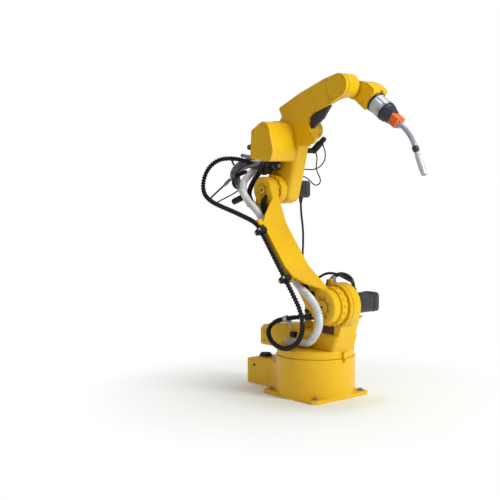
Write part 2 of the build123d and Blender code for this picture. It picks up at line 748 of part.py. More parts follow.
def make_contact_tip():
    bottom = nozzle_plane(insulator_length + nozzle_length - nozzle_bore_depth)
    return turned(bottom, [
        (0, contact_tip_radius), (nozzle_bore_depth - 9, contact_tip_radius), (nozzle_bore_depth - 4, 2)])


# Motors
def motor_body(x, z, size, near, far):
    """Square servo motor: mounting flange, body and end cap."""
    inside = size - 2 * motor_step
    flange = slab(RectangleRounded(size, size, size * 0.12), x, z, near, near + motor_flange)
    body = slab(RectangleRounded(inside, inside, size * 0.16), x, z, near, far)
    cap = slab(RectangleRounded(size, size, size * 0.22), x, z, far - motor_cap_length, far)
    cap = chamfer(cap.edges().group_by(Axis.Y)[-1], 3)
    return flange + body + cap


def make_shoulder_motor():
    body = motor_body(shoulder_x, shoulder_z, shoulder_motor_size, boss_far, boss_far + shoulder_motor_length)
    top = shoulder_z + shoulder_motor_size / 2 - motor_step
    plug = Pos(shoulder_x, boss_far + motor_plug_at, top - 4) * Cylinder(
        motor_plug_radius, motor_plug_height + 4, align=(Align.CENTER, Align.CENTER, Align.MIN))
    return body + plug


def make_elbow_motor():
    return motor_body(elbow_x, elbow_z, elbow_motor_size, elbow_far, elbow_far + elbow_motor_length)


# Hoses and cables; their points lie on the centre line
silver_end_y = turret_near - silver_hose / 2 - 3


def elbow_point(x, y, z):
    """Point placed from the elbow axis."""
    return (elbow_x + x, y, elbow_z + z)


drive_plug_foot = (96, 82, 158)
black_upper = [elbow_point(*point) for point in [
    (-51, -58, 99), (-89, -58, 99), (-141, -86, 121), (-194, -112, 131), (-247, -140, 127), (-293, -160, 93),
    (-319, -170, 39), (-307, -180, -17), (-251, -187, -50), (-175, -195, -69), (-87, -203, -87), (-4, -214, -105),
    (61, -220, -121)]]
black_upper = black_upper + [
    arm_point(upper_clamp_at + 26, arm_hose_depth, arm_hose_y), arm_point(upper_clamp_at, arm_hose_depth, arm_hose_y)]
black_lower = [arm_point(lower_clamp_at, arm_hose_depth, arm_hose_y),
               arm_point(lower_clamp_at - 28, arm_hose_depth, arm_hose_y),
               (92, -210, 424), (114, -197, 372), (118, -186, 316), (98, -176, 262), (56, -172, 222),
               (4, -173, 201), (-66, -160, 205), (-134, -134, 223), (-178, -102, 254), (-156, -80, 288),
               (-101, -71, 303), (-46, -52, 314), (-4, -28, 318)]
silver_upper = [elbow_point(*point) for point in [
    (-92, 9, 136), (-112, 5, 134), (-125, -23, 109), (-116, -62, 75), (-108, -100, 52), (-99, -129, 32),
    (-80, -151, 9), (-58, -163, -18), (-28, -166, -46), (7, -163, -72)]]
silver_upper = silver_upper + [
    arm_point(duct_hose_top + 28, channel_depth(duct_hose_top + 28), duct_hose_y),
    arm_point(duct_hose_top, channel_depth(duct_hose_top), duct_hose_y)]
silver_lower = [arm_point(duct_hose_low, channel_depth(duct_hose_low), duct_hose_y),
                arm_point(duct_hose_low - 25, channel_depth(duct_hose_low - 25), duct_hose_y),
                (101, -160, 439), (146, -160, 409), (174, -156, 366), (172, -148, 320), (136, -132, 274),
                (78, -104, 234), (16, silver_end_y, 214), (-38, silver_end_y, 214)]
inner_hose_route = [elbow_point(*point) for point in [
    (-61, -72, 74), (-78, -80, 50), (-97, -86, 19), (-105, -96, -13), (-91, -101, -44), (-62, -100, -70)]]
inner_hose_route = inner_hose_route + [
    arm_point(inner_hose_end + 32, inner_hose_depth, inner_hose_y), arm_point(inner_hose_end, inner_hose_depth, inner_hose_y)]
elbow_cable = [elbow_point(15, 92, -elbow_motor_size / 2 + motor_step), elbow_point(15, 92, -91),
               elbow_point(28, 93, -161), elbow_point(33, 90, -231), (-158, 76, 540), (-128, 40, 500),
               (-84, -4, 480), (-34, -36, 472), (8, -52, 475)]
shoulder_cable_route = [(22, -52, 475), (48, -52, 475), (78, -57, 488), (108, -60, 503), (140, -56, 510),
                        (164, -38, 503), (176, -10, 487), (172, 22, 474), (160, 48, 468),
                        (shoulder_x, boss_far + motor_plug_at, 456),
                        (shoulder_x, boss_far + motor_plug_at,
                         shoulder_z + shoulder_motor_size / 2 - motor_step + motor_plug_height)]
wire_upper = [elbow_point(*point) for point in [
    (145, 90, 190), (155, 91, 168), (159, 95, 133), (137, 96, 101), (99, 93, 83), (63, 82, 83), (41, 62, 86),
    (31, elbow_far - 3, 88)]]
wire_lower = [elbow_point(*point) for point in [
    (103, 90, 161), (112, 92, 138), (103, 98, 113), (95, 101, 85), (113, 102, 59), (125, 102, 35),
    (107, 101, 16), (81, 98, 22), (67, 88, 43), (51, 68, 57), (41, elbow_far - 3, 61)]]


def straight_hose(start, end, diameter):
    plane = Plane(origin=start, z_dir=Vector(*end) - Vector(*start))
    return extrude(plane * Circle(diameter / 2), amount=(Vector(*end) - Vector(*start)).length)


def make_black_arm_hose():
    return straight_hose(black_upper[-1], black_lower[0], black_hose)


def make_silver_arm_hose():
    return straight_hose(silver_upper[-1], silver_lower[0], silver_hose)


def make_arm_cable_clip():
    """Clip on the lower arm's far side where the motor cable ends."""
    x, y, z = elbow_cable[-1]
    block = Pos(x, (y + web_far) / 2 + 4, z) * Box(28, y - web_far + 14, 22)
    return block - make_lower_arm() - hose(elbow_cable, motor_cable + 2 * hose_play)


def make_wire_loops():
    ends = make_upper_arm() + make_drive_connector()
    return Compound(children=[hose(wire_upper, signal_wire) - ends, hose(wire_lower, signal_wire) - ends])


def main():
    os.makedirs("parts", exist_ok=True)
    parts = {
        "base_casting": make_base(),
        "base_cable_socket": make_base_connector(),
        "base_zero_mark": make_base_mark(),
        "turret_casting": make_turret(),
        "turret_zero_mark": make_turret_mark(),
        "turret_rear_housing": make_rear_housing(),
        "rear_plug_black": make_rear_plug_black(),
        "rear_plug_grey": make_rear_plug_grey(),
        "rear_hose_clamp": make_hose_clamp_rear(),
        "turret_hose_socket": make_turret_gland(),
        "shoulder_motor": make_shoulder_motor(),
        "lower_arm_casting": make_lower_arm(),
        "shoulder_reducer_ring": make_shoulder_ring(),
        "elbow_reducer_ring": make_elbow_ring(),
        "arm_hose_clamp_upper": arm_hose_clamp(upper_clamp_at),
        "arm_hose_clamp_lower": arm_hose_clamp(lower_clamp_at),
        "arm_hose_lug": make_hose_tab(),
        "arm_cable_clip": make_arm_cable_clip(),
        "black_hose_arm": make_black_arm_hose(),
        "silver_hose_arm": make_silver_arm_hose(),
        "forearm_casting": make_upper_arm(),
        "elbow_side_block": make_side_block(),
        "elbow_motor": make_elbow_motor(),
        "cable_entry_cover": make_cable_cover(),
        "roll_drive_housing": make_drive_housing(),
        "roll_drive_cap": make_drive_cap(),
        "roll_drive_connector": make_drive_connector(),
        "roll_drive_wires": make_wire_loops(),
        "elbow_plug_black": make_elbow_plug_black(),
        "elbow_plug_grey": make_elbow_plug_grey(),
        "wrist_roll_housing": make_roll_housing(),
        "wrist_side_cover": make_roll_cover(),
        "wrist_bend_block": make_bend_block(),
        "tool_flange": make_tool_flange(),
        "torch_mount": make_torch_mount(),
        "torch_collar": make_torch_collar(),
        "torch_clamp": make_torch_clamp(),
        "torch_neck": make_torch_neck(),
        "torch_insulator": make_torch_insulator(),
        "torch_nozzle": make_torch_nozzle(),
        "contact_tip": make_contact_tip(),
        "black_hose_upper": hose(black_upper, black_hose),
        "black_hose_lower": hose(black_lower, black_hose),
        "silver_hose_upper": hose(silver_upper, silver_hose),
        "silver_hose_lower": hose(silver_lower, silver_hose),
        "elbow_motor_cable": hose(elbow_cable, motor_cable),
        "black_hose_inner": hose(inner_hose_route, inner_hose),
        "shoulder_motor_cable": hose(shoulder_cable_route, shoulder_cable),
    }
    for name, shape in parts.items():
        export_step(shape, f"parts/{name}.step")


main()
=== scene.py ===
import json
import math

import bmesh
import bpy
from mathutils import Matrix, Vector


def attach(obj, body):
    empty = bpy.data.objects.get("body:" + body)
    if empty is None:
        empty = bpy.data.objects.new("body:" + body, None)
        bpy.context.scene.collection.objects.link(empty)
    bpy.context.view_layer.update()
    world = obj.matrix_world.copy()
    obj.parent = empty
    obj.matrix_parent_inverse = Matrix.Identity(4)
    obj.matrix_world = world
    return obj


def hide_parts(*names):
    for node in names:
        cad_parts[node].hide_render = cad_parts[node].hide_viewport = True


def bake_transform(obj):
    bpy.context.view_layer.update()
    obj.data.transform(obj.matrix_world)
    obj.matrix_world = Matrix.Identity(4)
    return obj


# Six-axis welding robot arm: paint, hoses, bolts and the torch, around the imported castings.
# Metres. X points to the robot's front, Y to its left, Z up. The origin is on the floor under the turret.

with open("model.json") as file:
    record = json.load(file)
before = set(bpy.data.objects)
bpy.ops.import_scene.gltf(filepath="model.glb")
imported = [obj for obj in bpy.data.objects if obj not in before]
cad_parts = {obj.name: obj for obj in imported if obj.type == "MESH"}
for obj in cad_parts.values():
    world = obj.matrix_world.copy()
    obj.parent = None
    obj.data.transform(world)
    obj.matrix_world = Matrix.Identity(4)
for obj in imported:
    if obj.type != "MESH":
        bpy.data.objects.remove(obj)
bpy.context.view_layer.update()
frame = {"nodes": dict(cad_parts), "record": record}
nodes = frame["nodes"]

# Camera: standing to the right of the robot's front, at a little under its wrist height
camera_place = Vector((2.8659, -2.8460, 0.9205))
camera_view = Vector((-0.7521, 0.6538, -0.0823))
camera_lens = 71.875

# The arm's own lines, from its joints
joints = {joint["name"]: joint for joint in frame["record"]["behaviour"]["joints"]}
shoulder = Vector(joints["shoulder_swing"]["pos_m"])
elbow = Vector(joints["elbow_swing"]["pos_m"])
bend = Vector(joints["wrist_bend_swing"]["pos_m"])
tool_axis = Vector(joints["tool_turn"]["axis"])
roll_axis = Vector(joints["wrist_roll_turn"]["axis"])
arm_along = Vector((elbow.x - shoulder.x, 0, elbow.z - shoulder.z)).normalized()
arm_front = Vector((arm_along.z, 0, -arm_along.x))
near = Vector((0, -1, 0))


def arm_point(along, depth, y):
    """Point beside the lower arm: along it from the shoulder, and forwards from its centre line."""
    point = Vector((shoulder.x, y, shoulder.z)) + arm_along * along + arm_front * depth
    return tuple(point)


# Materials

class Nodes:
    """Short way to write a material's node tree."""

    def __init__(self, name):
        self.material = bpy.data.materials.new(name)
        self.material.use_nodes = True
        self.tree = self.material.node_tree
        self.shader = self.tree.nodes["Principled BSDF"]
        self.place = self.add("ShaderNodeTexCoord").outputs["Object"]

    def add(self, kind, **settings):
        node = self.tree.nodes.new(kind)
        for key, value in settings.items():
            if hasattr(node, key):
                setattr(node, key, value)
            else:
                node.inputs[key.replace("_", " ")].default_value = value
        return node

    def link(self, start, end):
        self.tree.links.new(start, end)

    def noise(self, scale, detail, roughness=0.55):
        node = self.add("ShaderNodeTexNoise", Scale=scale, Detail=detail, Roughness=roughness)
        self.link(self.place, node.inputs["Vector"])
        return node.outputs["Fac"]

    def mix(self, factor, one, two):
        node = self.add("ShaderNodeMix", data_type="RGBA")
        self.link(factor, node.inputs["Factor"])
        for socket, value in ((node.inputs["A"], one), (node.inputs["B"], two)):
            if isinstance(value, tuple):
                socket.default_value = (*value, 1)
            else:
                self.link(value, socket)
        return node.outputs["Result"]

    def math(self, operation, one, two):
        node = self.add("ShaderNodeMath", operation=operation)
        for socket, value in ((node.inputs[0], one), (node.inputs[1], two)):
            if isinstance(value, float):
                socket.default_value = value
            else:
                self.link(value, socket)
        return node.outputs[0]

    def remap(self, value, low, high, new_low, new_high):
        node = self.add("ShaderNodeMapRange")
        for index, number in enumerate((low, high, new_low, new_high), start=1):
            node.inputs[index].default_value = number
        self.link(value, node.inputs[0])
        return node.outputs[0]

    def bump(self, height, distance, strength, normal):
        node = self.add("ShaderNodeBump")
        node.inputs["Distance"].default_value = distance
        node.inputs["Strength"].default_value = strength
        self.link(height, node.inputs["Height"])
        self.link(normal, node.inputs["Normal"])
        return node.outputs["Normal"]

    def rounded(self, radius):
        """Normal of edges rounded by this radius."""
        node = self.add("ShaderNodeBevel", samples=6)
        node.inputs["Radius"].default_value = radius
        return node.outputs["Normal"]

    def edges(self, radius):
        """One at outer and inner edges, nothing on flat faces."""
        sharp = self.add("ShaderNodeNewGeometry").outputs["Normal"]
        product = self.add("ShaderNodeVectorMath", operation="DOT_PRODUCT")
        self.link(self.rounded(radius), product.inputs[0])
        self.link(sharp, product.inputs[1])
        return self.remap(product.outputs["Value"], 0.985, 0.86, 0.0, 1.0)

    def finish(self, colour, roughness, normal=None, metallic=0.0, coat=0.0):
        if isinstance(colour, tuple):
            self.shader.inputs["Base Color"].default_value = (*colour, 1)
        else:
            self.link(colour, self.shader.inputs["Base Color"])
        if isinstance(roughness, float):
            self.shader.inputs["Roughness"].default_value = roughness
        else:
            self.link(roughness, self.shader.inputs["Roughness"])
        if normal is not None:
            self.link(normal, self.shader.inputs["Normal"])
        self.shader.inputs["Metallic"].default_value = metallic
        self.shader.inputs["Coat Weight"].default_value = coat
        self.shader.inputs["Coat Roughness"].default_value = 0.1
        return self.material


def paint(name, colour, deep, worn, round_edge):
    """Enamel on a sand casting: soft edges, a fine orange peel, faint dust and worn corners."""
    n = Nodes(name)
    cloud = n.noise(5.0, 3.0)
    base = n.mix(n.remap(cloud, 0.35, 0.7, 0.0, 0.55), colour, deep)
    grime = n.remap(n.noise(38.0, 6.0, 0.7), 0.56, 0.75, 0.0, 0.22)
    base = n.mix(grime, base, tuple(0.62 * part for part in deep))
    edge = n.math("MULTIPLY", n.edges(0.0022), n.remap(n.noise(90.0, 5.0, 0.65), 0.45, 0.62, 0.0, 0.7))
    base = n.mix(edge, base, worn)
    roughness = n.remap(n.noise(60.0, 4.0), 0.3, 0.7, 0.3, 0.44)
    peel = n.bump(n.noise(520.0, 2.0), 0.00025, 0.5, n.rounded(round_edge))
    wave = n.bump(n.noise(34.0, 2.0), 0.0012, 0.35, peel)
    n.shader.inputs["Specular IOR Level"].default_value = 0.25
    return n.finish(base, roughness, wave, coat=0.28)


def moulded(name, colour, light, grain=700.0, rough=0.5, round_edge=0.0008, shine=0.5):
    """Moulded plastic or dull paint with a fine grain, and every edge lightened a little as a painted
    highlight.
    """
    n = Nodes(name)
    tone = n.mix(n.remap(n.noise(30.0, 5.0), 0.35, 0.7, 0.0, 0.8), colour, light)
    # painted highlight: every edge lightened evenly towards a paler tone of the plastic
    edge = n.math("MULTIPLY", n.edges(0.0012), 0.35)
    tone = n.mix(edge, tone, tuple(min(1.0, 2.2 * part + 0.03) for part in light))
    roughness = n.remap(n.noise(110.0, 4.0), 0.3, 0.7, rough - 0.08, rough + 0.12)
    normal = n.bump(n.noise(grain, 3.0), 0.0002, 0.6, n.rounded(round_edge))
    n.shader.inputs["Specular IOR Level"].default_value = shine
    return n.finish(tone, roughness, normal)


def metal(name, colour, dark, rough, scale=400.0, metallic=0.9):
    """Machined or polished metal with fine tool marks."""
    n = Nodes(name)
    marks = n.noise(scale, 4.0, 0.6)
    tone = n.mix(n.remap(marks, 0.35, 0.7, 0.0, 0.6), colour, dark)
    smear = n.noise(24.0, 4.0)
    tone = n.mix(n.remap(smear, 0.5, 0.75, 0.0, 0.3), tone, dark)
    roughness = n.remap(smear, 0.3, 0.7, rough - 0.06, rough + 0.1)
    normal = n.bump(marks, 0.00012, 0.5, n.rounded(0.0006))
    return n.finish(tone, roughness, normal, metallic=metallic)


yellow = paint("yellow_enamel", (0.80, 0.485, 0.004), (0.745, 0.405, 0.003), (0.9, 0.62, 0.09), 0.004)
motor_black = moulded("motor_black_paint", (0.022, 0.025, 0.034), (0.045, 0.05, 0.066), 420.0, 0.42, 0.002)
plug_black = moulded("plug_black_plastic", (0.006, 0.006, 0.008), (0.018, 0.018, 0.022), rough=0.38,
                     shine=0.34)
plug_grey = moulded("plug_grey_plastic", (0.46, 0.47, 0.48), (0.58, 0.59, 0.6))
black_rubber = moulded("black_conduit", (0.003, 0.003, 0.004), (0.008, 0.008, 0.011), 500.0, 0.26,
                       shine=0.26)
silver_rubber = moulded("silver_conduit", (0.56, 0.58, 0.65), (0.86, 0.88, 0.94), 500.0, 0.34)
dark_sleeve = moulded("dark_sleeve", (0.045, 0.04, 0.065), (0.13, 0.12, 0.17), 500.0, 0.45)
grey_sleeve = moulded("grey_sleeve", (0.16, 0.15, 0.2), (0.34, 0.33, 0.4), 500.0, 0.5)
navy = moulded("navy_plastic", (0.018, 0.022, 0.045), (0.035, 0.04, 0.07), 500.0, 0.4)
orange = moulded("orange_plastic", (0.83, 0.13, 0.012), (0.9, 0.2, 0.03), 400.0, 0.42, 0.0015)
aluminium = metal("machined_aluminium", (0.60, 0.64, 0.75), (0.40, 0.43, 0.54), 0.46, metallic=0.4)
dark_steel = metal("blackened_steel", (0.12, 0.12, 0.13), (0.05, 0.05, 0.055), 0.4)
bolt_steel = metal("bolt_steel", (0.42, 0.4, 0.38), (0.2, 0.19, 0.19), 0.35)
bright_steel = metal("polished_tube", (0.46, 0.48, 0.60), (0.24, 0.24, 0.34), 0.34, scale=240.0,
                     metallic=0.5)
brown_steel = metal("browned_steel", (0.16, 0.09, 0.06), (0.06, 0.04, 0.035), 0.45, metallic=0.6)
pale_steel = metal("plated_strap", (0.62, 0.66, 0.6), (0.4, 0.44, 0.4), 0.4, metallic=0.5)
# dark ochre, painted shade in the groove round each hub cap
ochre_painted_shade = moulded("ochre_painted_shade", (0.28, 0.115, 0.006), (0.38, 0.17, 0.01), 400.0, 0.6)
# dark brown: the plug plate's colour, and painted shade in the gap under the shoulder hub
brown_rubber_and_shade = moulded("brown_rubber_and_painted_shade", (0.06, 0.018, 0.008), (0.11, 0.035, 0.012), 400.0, 0.6)
copper = metal("copper_alloy", (0.82, 0.46, 0.3), (0.5, 0.24, 0.14), 0.3)

finishes = {
    "yellow_paint": yellow,
    "motor_black": motor_black,
    "plug_black": plug_black,
    "plug_grey": plug_grey,
    "black_hose": black_rubber,
    "silver_hose": silver_rubber,
    "machined_steel": dark_steel,
    "torch_aluminium": aluminium,
    "collar_navy": navy,
    "clamp_orange": orange,
    "neck_metal": bright_steel,
    "copper_tip": copper,
}
for entry in frame["record"]["subparts"]:
    item = nodes[entry["node"]]
    if not item.data.materials:
        item.data.materials.append(None)
    for index in range(len(item.data.materials)):
        item.data.materials[index] = finishes[entry["material_slot"]]


# Making pieces

def at(x, y, z):
    return Matrix.Translation((x, y, z))


def square_to(axis):
    """Turn that takes Z to this axis, with X kept level where it can be."""
    axis = Vector(axis).normalized()
    side = Vector((0, 0, 1)).cross(axis)
    side = Vector((1, 0, 0)) if side.length < 1e-4 else side.normalized()
    return Matrix((side, axis.cross(side), axis)).transposed().to_4x4()


def placed(origin, axis):
    return Matrix.Translation(Vector(origin)) @ square_to(axis)


def piece(name, mesh, material, body=None, replaced=()):
    """A finished mesh in the frame, riding on its body."""
    bmesh.ops.remove_doubles(mesh, verts=mesh.verts, dist=1e-6)
    bmesh.ops.recalc_face_normals(mesh, faces=mesh.faces)
    data = bpy.data.meshes.new(name)
    mesh.to_mesh(data)
    mesh.free()
    item = bpy.data.objects.new(name, data)
    bpy.context.scene.collection.objects.link(item)
    data.materials.append(material)
    if replaced:
        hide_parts(*replaced)
    if body is not None:
        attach(item, body)
    return item


def smooth(item, angle):
    """Smooth shading, kept sharp at edges past this angle."""
    for face in item.data.polygons:
        face.use_smooth = True
    item.data.set_sharp_from_angle(angle=math.radians(angle))
    return item


def add_round(mesh, place, profile, segments):
    """Turned shape: (distance along the axis, radius) pairs, closed at both ends."""
    start, radius = profile[0]
    ring = bmesh.ops.create_circle(
        mesh, cap_ends=False, segments=segments, radius=radius, matrix=place @ at(0, 0, start))["verts"]
    first = list(ring)
    edges = list({edge for vert in ring for edge in vert.link_edges})
    previous = radius
    for height, radius in profile[1:]:
        grown = bmesh.ops.extrude_edge_only(mesh, edges=edges)["geom"]
        ring = [part for part in grown if isinstance(part, bmesh.types.BMVert)]
        edges = [part for part in grown if isinstance(part, bmesh.types.BMEdge)]
        edges = [edge for edge in edges if all(vert in ring for vert in edge.verts)]
        local = place.inverted()
        bmesh.ops.scale(mesh, vec=(radius / previous, radius / previous, 1), space=local, verts=ring)
        bmesh.ops.translate(mesh, vec=(0, 0, height - start), space=local, verts=ring)
        start = height
        previous = radius
    for loop in (first, ring):
        rim = [edge for edge in {edge for vert in loop for edge in vert.link_edges}
               if all(vert in loop for vert in edge.verts) and len(edge.link_faces) == 1]
        bmesh.ops.contextual_create(mesh, geom=rim)


def add_socket_screw(mesh, origin, axis, radius):
    """Cap screw with a hexagon socket, its seat at the origin."""
    place = placed(origin, axis)
    head = 1.1 * radius
    profile = [(-0.2 * radius, radius), (head - 0.18 * radius, radius), (head, 0.84 * radius),
               (head, 0.5 * radius), (head - 0.55 * radius, 0.45 * radius)]
    add_round(mesh, place, profile, 18)


def add_hex_bolt(mesh, origin, axis, width):
    """Hexagon bolt head on its washer."""
    place = placed(origin, axis)
    add_round(mesh, place, [(-0.0005, 0.95 * width), (0.0022, 0.95 * width), (0.003, 0.88 * width)], 28)
    add_round(mesh, place, [(0.002, 0.52 * width), (0.42 * width, 0.58 * width),
                            (0.6 * width, 0.58 * width), (0.68 * width, 0.5 * width)], 6)


def add_block(mesh, place, size, bevel, segments=3):
    """Box of this size centred on its place, with rounded edges."""
    made = bmesh.ops.create_cube(mesh, size=1, matrix=place @ Matrix.Diagonal((*size, 1)))["verts"]
    edges = list({edge for vert in made for edge in vert.link_edges})
    bmesh.ops.bevel(mesh, geom=edges, offset=bevel, segments=segments, profile=0.5, affect="EDGES",
                    clamp_overlap=True, material=-1)


def around(centre, axis, radius, count, turn=0.0):
    """Points on a circle, evenly spaced."""
    place = placed(centre, axis)
    for index in range(count):
        angle = turn + index * math.tau / count
        yield place @ Vector((radius * math.cos(angle), radius * math.sin(angle), 0))


# Hoses: the same points as the solid hoses, on one smooth curve

def hose_curve(name, points):
    curve = bpy.data.curves.new(name, "CURVE")
    curve.dimensions = "3D"
    curve.twist_mode = "MINIMUM"
    curve.resolution_u = 16
    line = curve.splines.new("NURBS")
    line.points.add(len(points) - 1)
    for control, point in zip(line.points, points):
        control.co = (*point, 1)
    line.order_u = 3
    line.use_endpoint_u = True
    item = bpy.data.objects.new(name, curve)
    bpy.context.scene.collection.objects.link(item)
    return item


def baked(item):
    """The finished mesh of an object, which is removed."""
    made = bpy.data.meshes.new_from_object(item.evaluated_get(bpy.context.evaluated_depsgraph_get()))
    bpy.data.objects.remove(item)
    mesh = bmesh.new()
    mesh.from_mesh(made)
    bpy.data.meshes.remove(made)
    return mesh


def conduit(name, points, ribs, material, slot, replaced=(), sides=18):
    """Ribbed hose: one rib repeated along the curve."""
    diameter, pitch, groove = ribs
    route = hose_curve(name + "_route", points)
    bpy.context.view_layer.update()
    length = sum(line.calc_length() for line in route.data.splines)
    count = max(2, round(length / pitch))
    step = length / count
    crest = diameter / 2
    root = crest - groove
    mesh = bmesh.new()
    turn = Matrix.Rotation(math.radians(90), 4, "Y")
    ring = bmesh.ops.create_circle(mesh, cap_ends=False, segments=sides, radius=root, matrix=turn)["verts"]
    edges = list({edge for vert in ring for edge in vert.link_edges})
    last = 0.0
    size = root
    for share, radius in ((0.2, root), (0.4, crest), (0.8, crest), (1.0, root)):
        grown = bmesh.ops.extrude_edge_only(mesh, edges=edges)["geom"]
        ring = [part for part in grown if isinstance(part, bmesh.types.BMVert)]
        edges = [part for part in grown if isinstance(part, bmesh.types.BMEdge)]
        bmesh.ops.scale(mesh, vec=(1, radius / size, radius / size), verts=ring)
        bmesh.ops.translate(mesh, vec=((share - last) * step, 0, 0), verts=ring)
        last = share
        size = radius
    data = bpy.data.meshes.new(name + "_rib")
    mesh.to_mesh(data)
    mesh.free()
    rib = bpy.data.objects.new(name + "_rib", data)
    bpy.context.scene.collection.objects.link(rib)
    repeat = rib.modifiers.new("ribs", "ARRAY")
    repeat.count = count
    repeat.use_relative_offset = False
    repeat.use_constant_offset = True
    repeat.constant_offset_displace = (step, 0, 0)
    repeat.use_merge_vertices = True
    repeat.merge_threshold = 1e-5
    along = rib.modifiers.new("along", "CURVE")
    along.object = route
    along.deform_axis = "POS_X"
    bpy.context.view_layer.update()
    final = baked(rib)
    bpy.data.objects.remove(route)
    rims = [edge for edge in final.edges if len(edge.link_faces) == 1]
    bmesh.ops.holes_fill(final, edges=rims, sides=0)
    return smooth(piece(name, final, material, None, replaced), 60)


def plain_cable(name, points, diameter, replaced=()):
    """Smooth round cable along its curve."""
    route = hose_curve(name + "_route", points)
    route.data.bevel_depth = diameter / 2
    route.data.bevel_resolution = 4
    route.data.use_fill_caps = True
    bpy.context.view_layer.update()
    return smooth(piece(name, baked(route), black_rubber, None, replaced), 60)


# Ribs of each hose: its outside diameter, and the spacing and depth of its grooves
black_ribs = (0.020, 0.0118, 0.0032)
silver_ribs = (0.030, 0.0104, 0.0026)
inner_ribs = (0.024, 0.0092, 0.0022)
strand_ribs = (0.0145, 0.0072, 0.0018)
spare_ribs = (0.017, 0.0095, 0.0024)
duct_cable_ribs = (0.0108, 0.0068, 0.0014)
duct_foot_ribs = (0.022, 0.0095, 0.0024)
loom_ribs = (0.0165, 0.0095, 0.0022)

# Smooth cables, and the places that fix the routes
motor_cable = 0.009
shoulder_cable = 0.010
signal_wire = 0.005
arm_hose_y = -0.221
arm_hose_depth = -0.008
duct_hose_y = -0.160
upper_clamp_at = 0.374
lower_clamp_at = 0.146
duct_hose_top = 0.447
duct_hose_low = 0.150
channel_foot = 0.116
channel_foot_depth = -0.021
channel_lean = 0.010 / 0.331
silver_end_y = -0.073
motor_bottom = -0.033
motor_plug_y = 0.062
motor_plug_top = 0.429
elbow_far = 0.046


def duct_point(along):
    """Middle of the silver hose in the duct, whose floor leans back towards the elbow."""
    return arm_point(along, channel_foot_depth - (along - channel_foot) * channel_lean, duct_hose_y)


def clamp_point(along):
    """Middle of the black hose between its clamps."""
    return arm_point(along, arm_hose_depth, arm_hose_y)


def elbow_point(x, y, z):
    """Point placed from the elbow axis."""
    return (elbow.x + x, y, elbow.z + z)


def elbow_route(points):
    return [elbow_point(*point) for point in points]


black_upper = elbow_route([
    (-0.051, -0.058, 0.099), (-0.089, -0.058, 0.099), (-0.141, -0.086, 0.121), (-0.194, -0.112, 0.131),
    (-0.247, -0.140, 0.127), (-0.293, -0.160, 0.093), (-0.319, -0.170, 0.039), (-0.307, -0.180, -0.017),
    (-0.251, -0.187, -0.050), (-0.175, -0.195, -0.069), (-0.087, -0.203, -0.087), (-0.004, -0.214, -0.105),
    (0.061, -0.220, -0.121)])
black_upper += [clamp_point(upper_clamp_at + 0.026), clamp_point(upper_clamp_at)]
black_lower = [
    clamp_point(lower_clamp_at), clamp_point(lower_clamp_at - 0.028), (0.092, -0.210, 0.424),
    (0.114, -0.197, 0.372), (0.118, -0.186, 0.316), (0.098, -0.176, 0.262), (0.056, -0.172, 0.222),
    (0.004, -0.173, 0.201), (-0.066, -0.160, 0.205), (-0.134, -0.134, 0.223), (-0.178, -0.102, 0.254),
    (-0.156, -0.080, 0.288), (-0.101, -0.071, 0.303), (-0.046, -0.052, 0.314), (-0.004, -0.028, 0.318)]
silver_upper = elbow_route([
    (-0.092, 0.009, 0.136), (-0.112, 0.005, 0.134), (-0.125, -0.023, 0.109), (-0.116, -0.062, 0.075),
    (-0.108, -0.100, 0.052), (-0.099, -0.129, 0.032), (-0.080, -0.151, 0.009), (-0.058, -0.163, -0.018),
    (-0.028, -0.166, -0.046), (0.007, -0.163, -0.072)])
silver_upper += [duct_point(duct_hose_top + 0.028), duct_point(duct_hose_top)]
silver_lower = [
    duct_point(duct_hose_low), duct_point(duct_hose_low - 0.025), (0.101, -0.160, 0.439),
    (0.146, -0.160, 0.409), (0.174, -0.156, 0.366), (0.172, -0.148, 0.320), (0.136, -0.132, 0.274),
    (0.078, -0.104, 0.234), (0.016, silver_end_y, 0.214), (-0.038, silver_end_y, 0.214)]
inner_route = elbow_route([
    (-0.061, -0.072, 0.074), (-0.078, -0.080, 0.050), (-0.097, -0.086, 0.019), (-0.105, -0.096, -0.013),
    (-0.091, -0.101, -0.044), (-0.062, -0.100, -0.070)])
inner_route += [arm_point(0.530, -0.078, -0.098), arm_point(0.498, -0.078, -0.098)]
elbow_cable = elbow_route([
    (0.015, 0.092, motor_bottom), (0.015, 0.092, -0.091), (0.028, 0.093, -0.161), (0.033, 0.090, -0.231)])
elbow_cable += [(-0.158, 0.076, 0.540), (-0.128, 0.040, 0.500), (-0.084, -0.004, 0.480),
                (-0.034, -0.036, 0.472), (0.008, -0.052, 0.475)]
shoulder_route = [
    (0.022, -0.052, 0.475), (0.048, -0.052, 0.475), (0.078, -0.057, 0.488), (0.108, -0.060, 0.503),
    (0.140, -0.056, 0.510), (0.164, -0.038, 0.503), (0.176, -0.010, 0.487), (0.172, 0.022, 0.474),
    (0.160, 0.048, 0.468), (shoulder.x, motor_plug_y, 0.456), (shoulder.x, motor_plug_y, motor_plug_top)]
wire_upper = elbow_route([
    (0.145, 0.090, 0.190), (0.155, 0.091, 0.168), (0.159, 0.095, 0.133), (0.137, 0.096, 0.101),
    (0.099, 0.093, 0.083), (0.063, 0.082, 0.083), (0.041, 0.062, 0.086), (0.031, elbow_far - 0.003, 0.088)])
wire_lower = elbow_route([
    (0.103, 0.090, 0.161), (0.112, 0.092, 0.138), (0.103, 0.098, 0.113), (0.095, 0.101, 0.085),
    (0.113, 0.102, 0.059), (0.125, 0.102, 0.035), (0.107, 0.101, 0.016), (0.081, 0.098, 0.022),
    (0.067, 0.088, 0.043), (0.051, 0.068, 0.057), (0.041, elbow_far - 0.003, 0.061)])


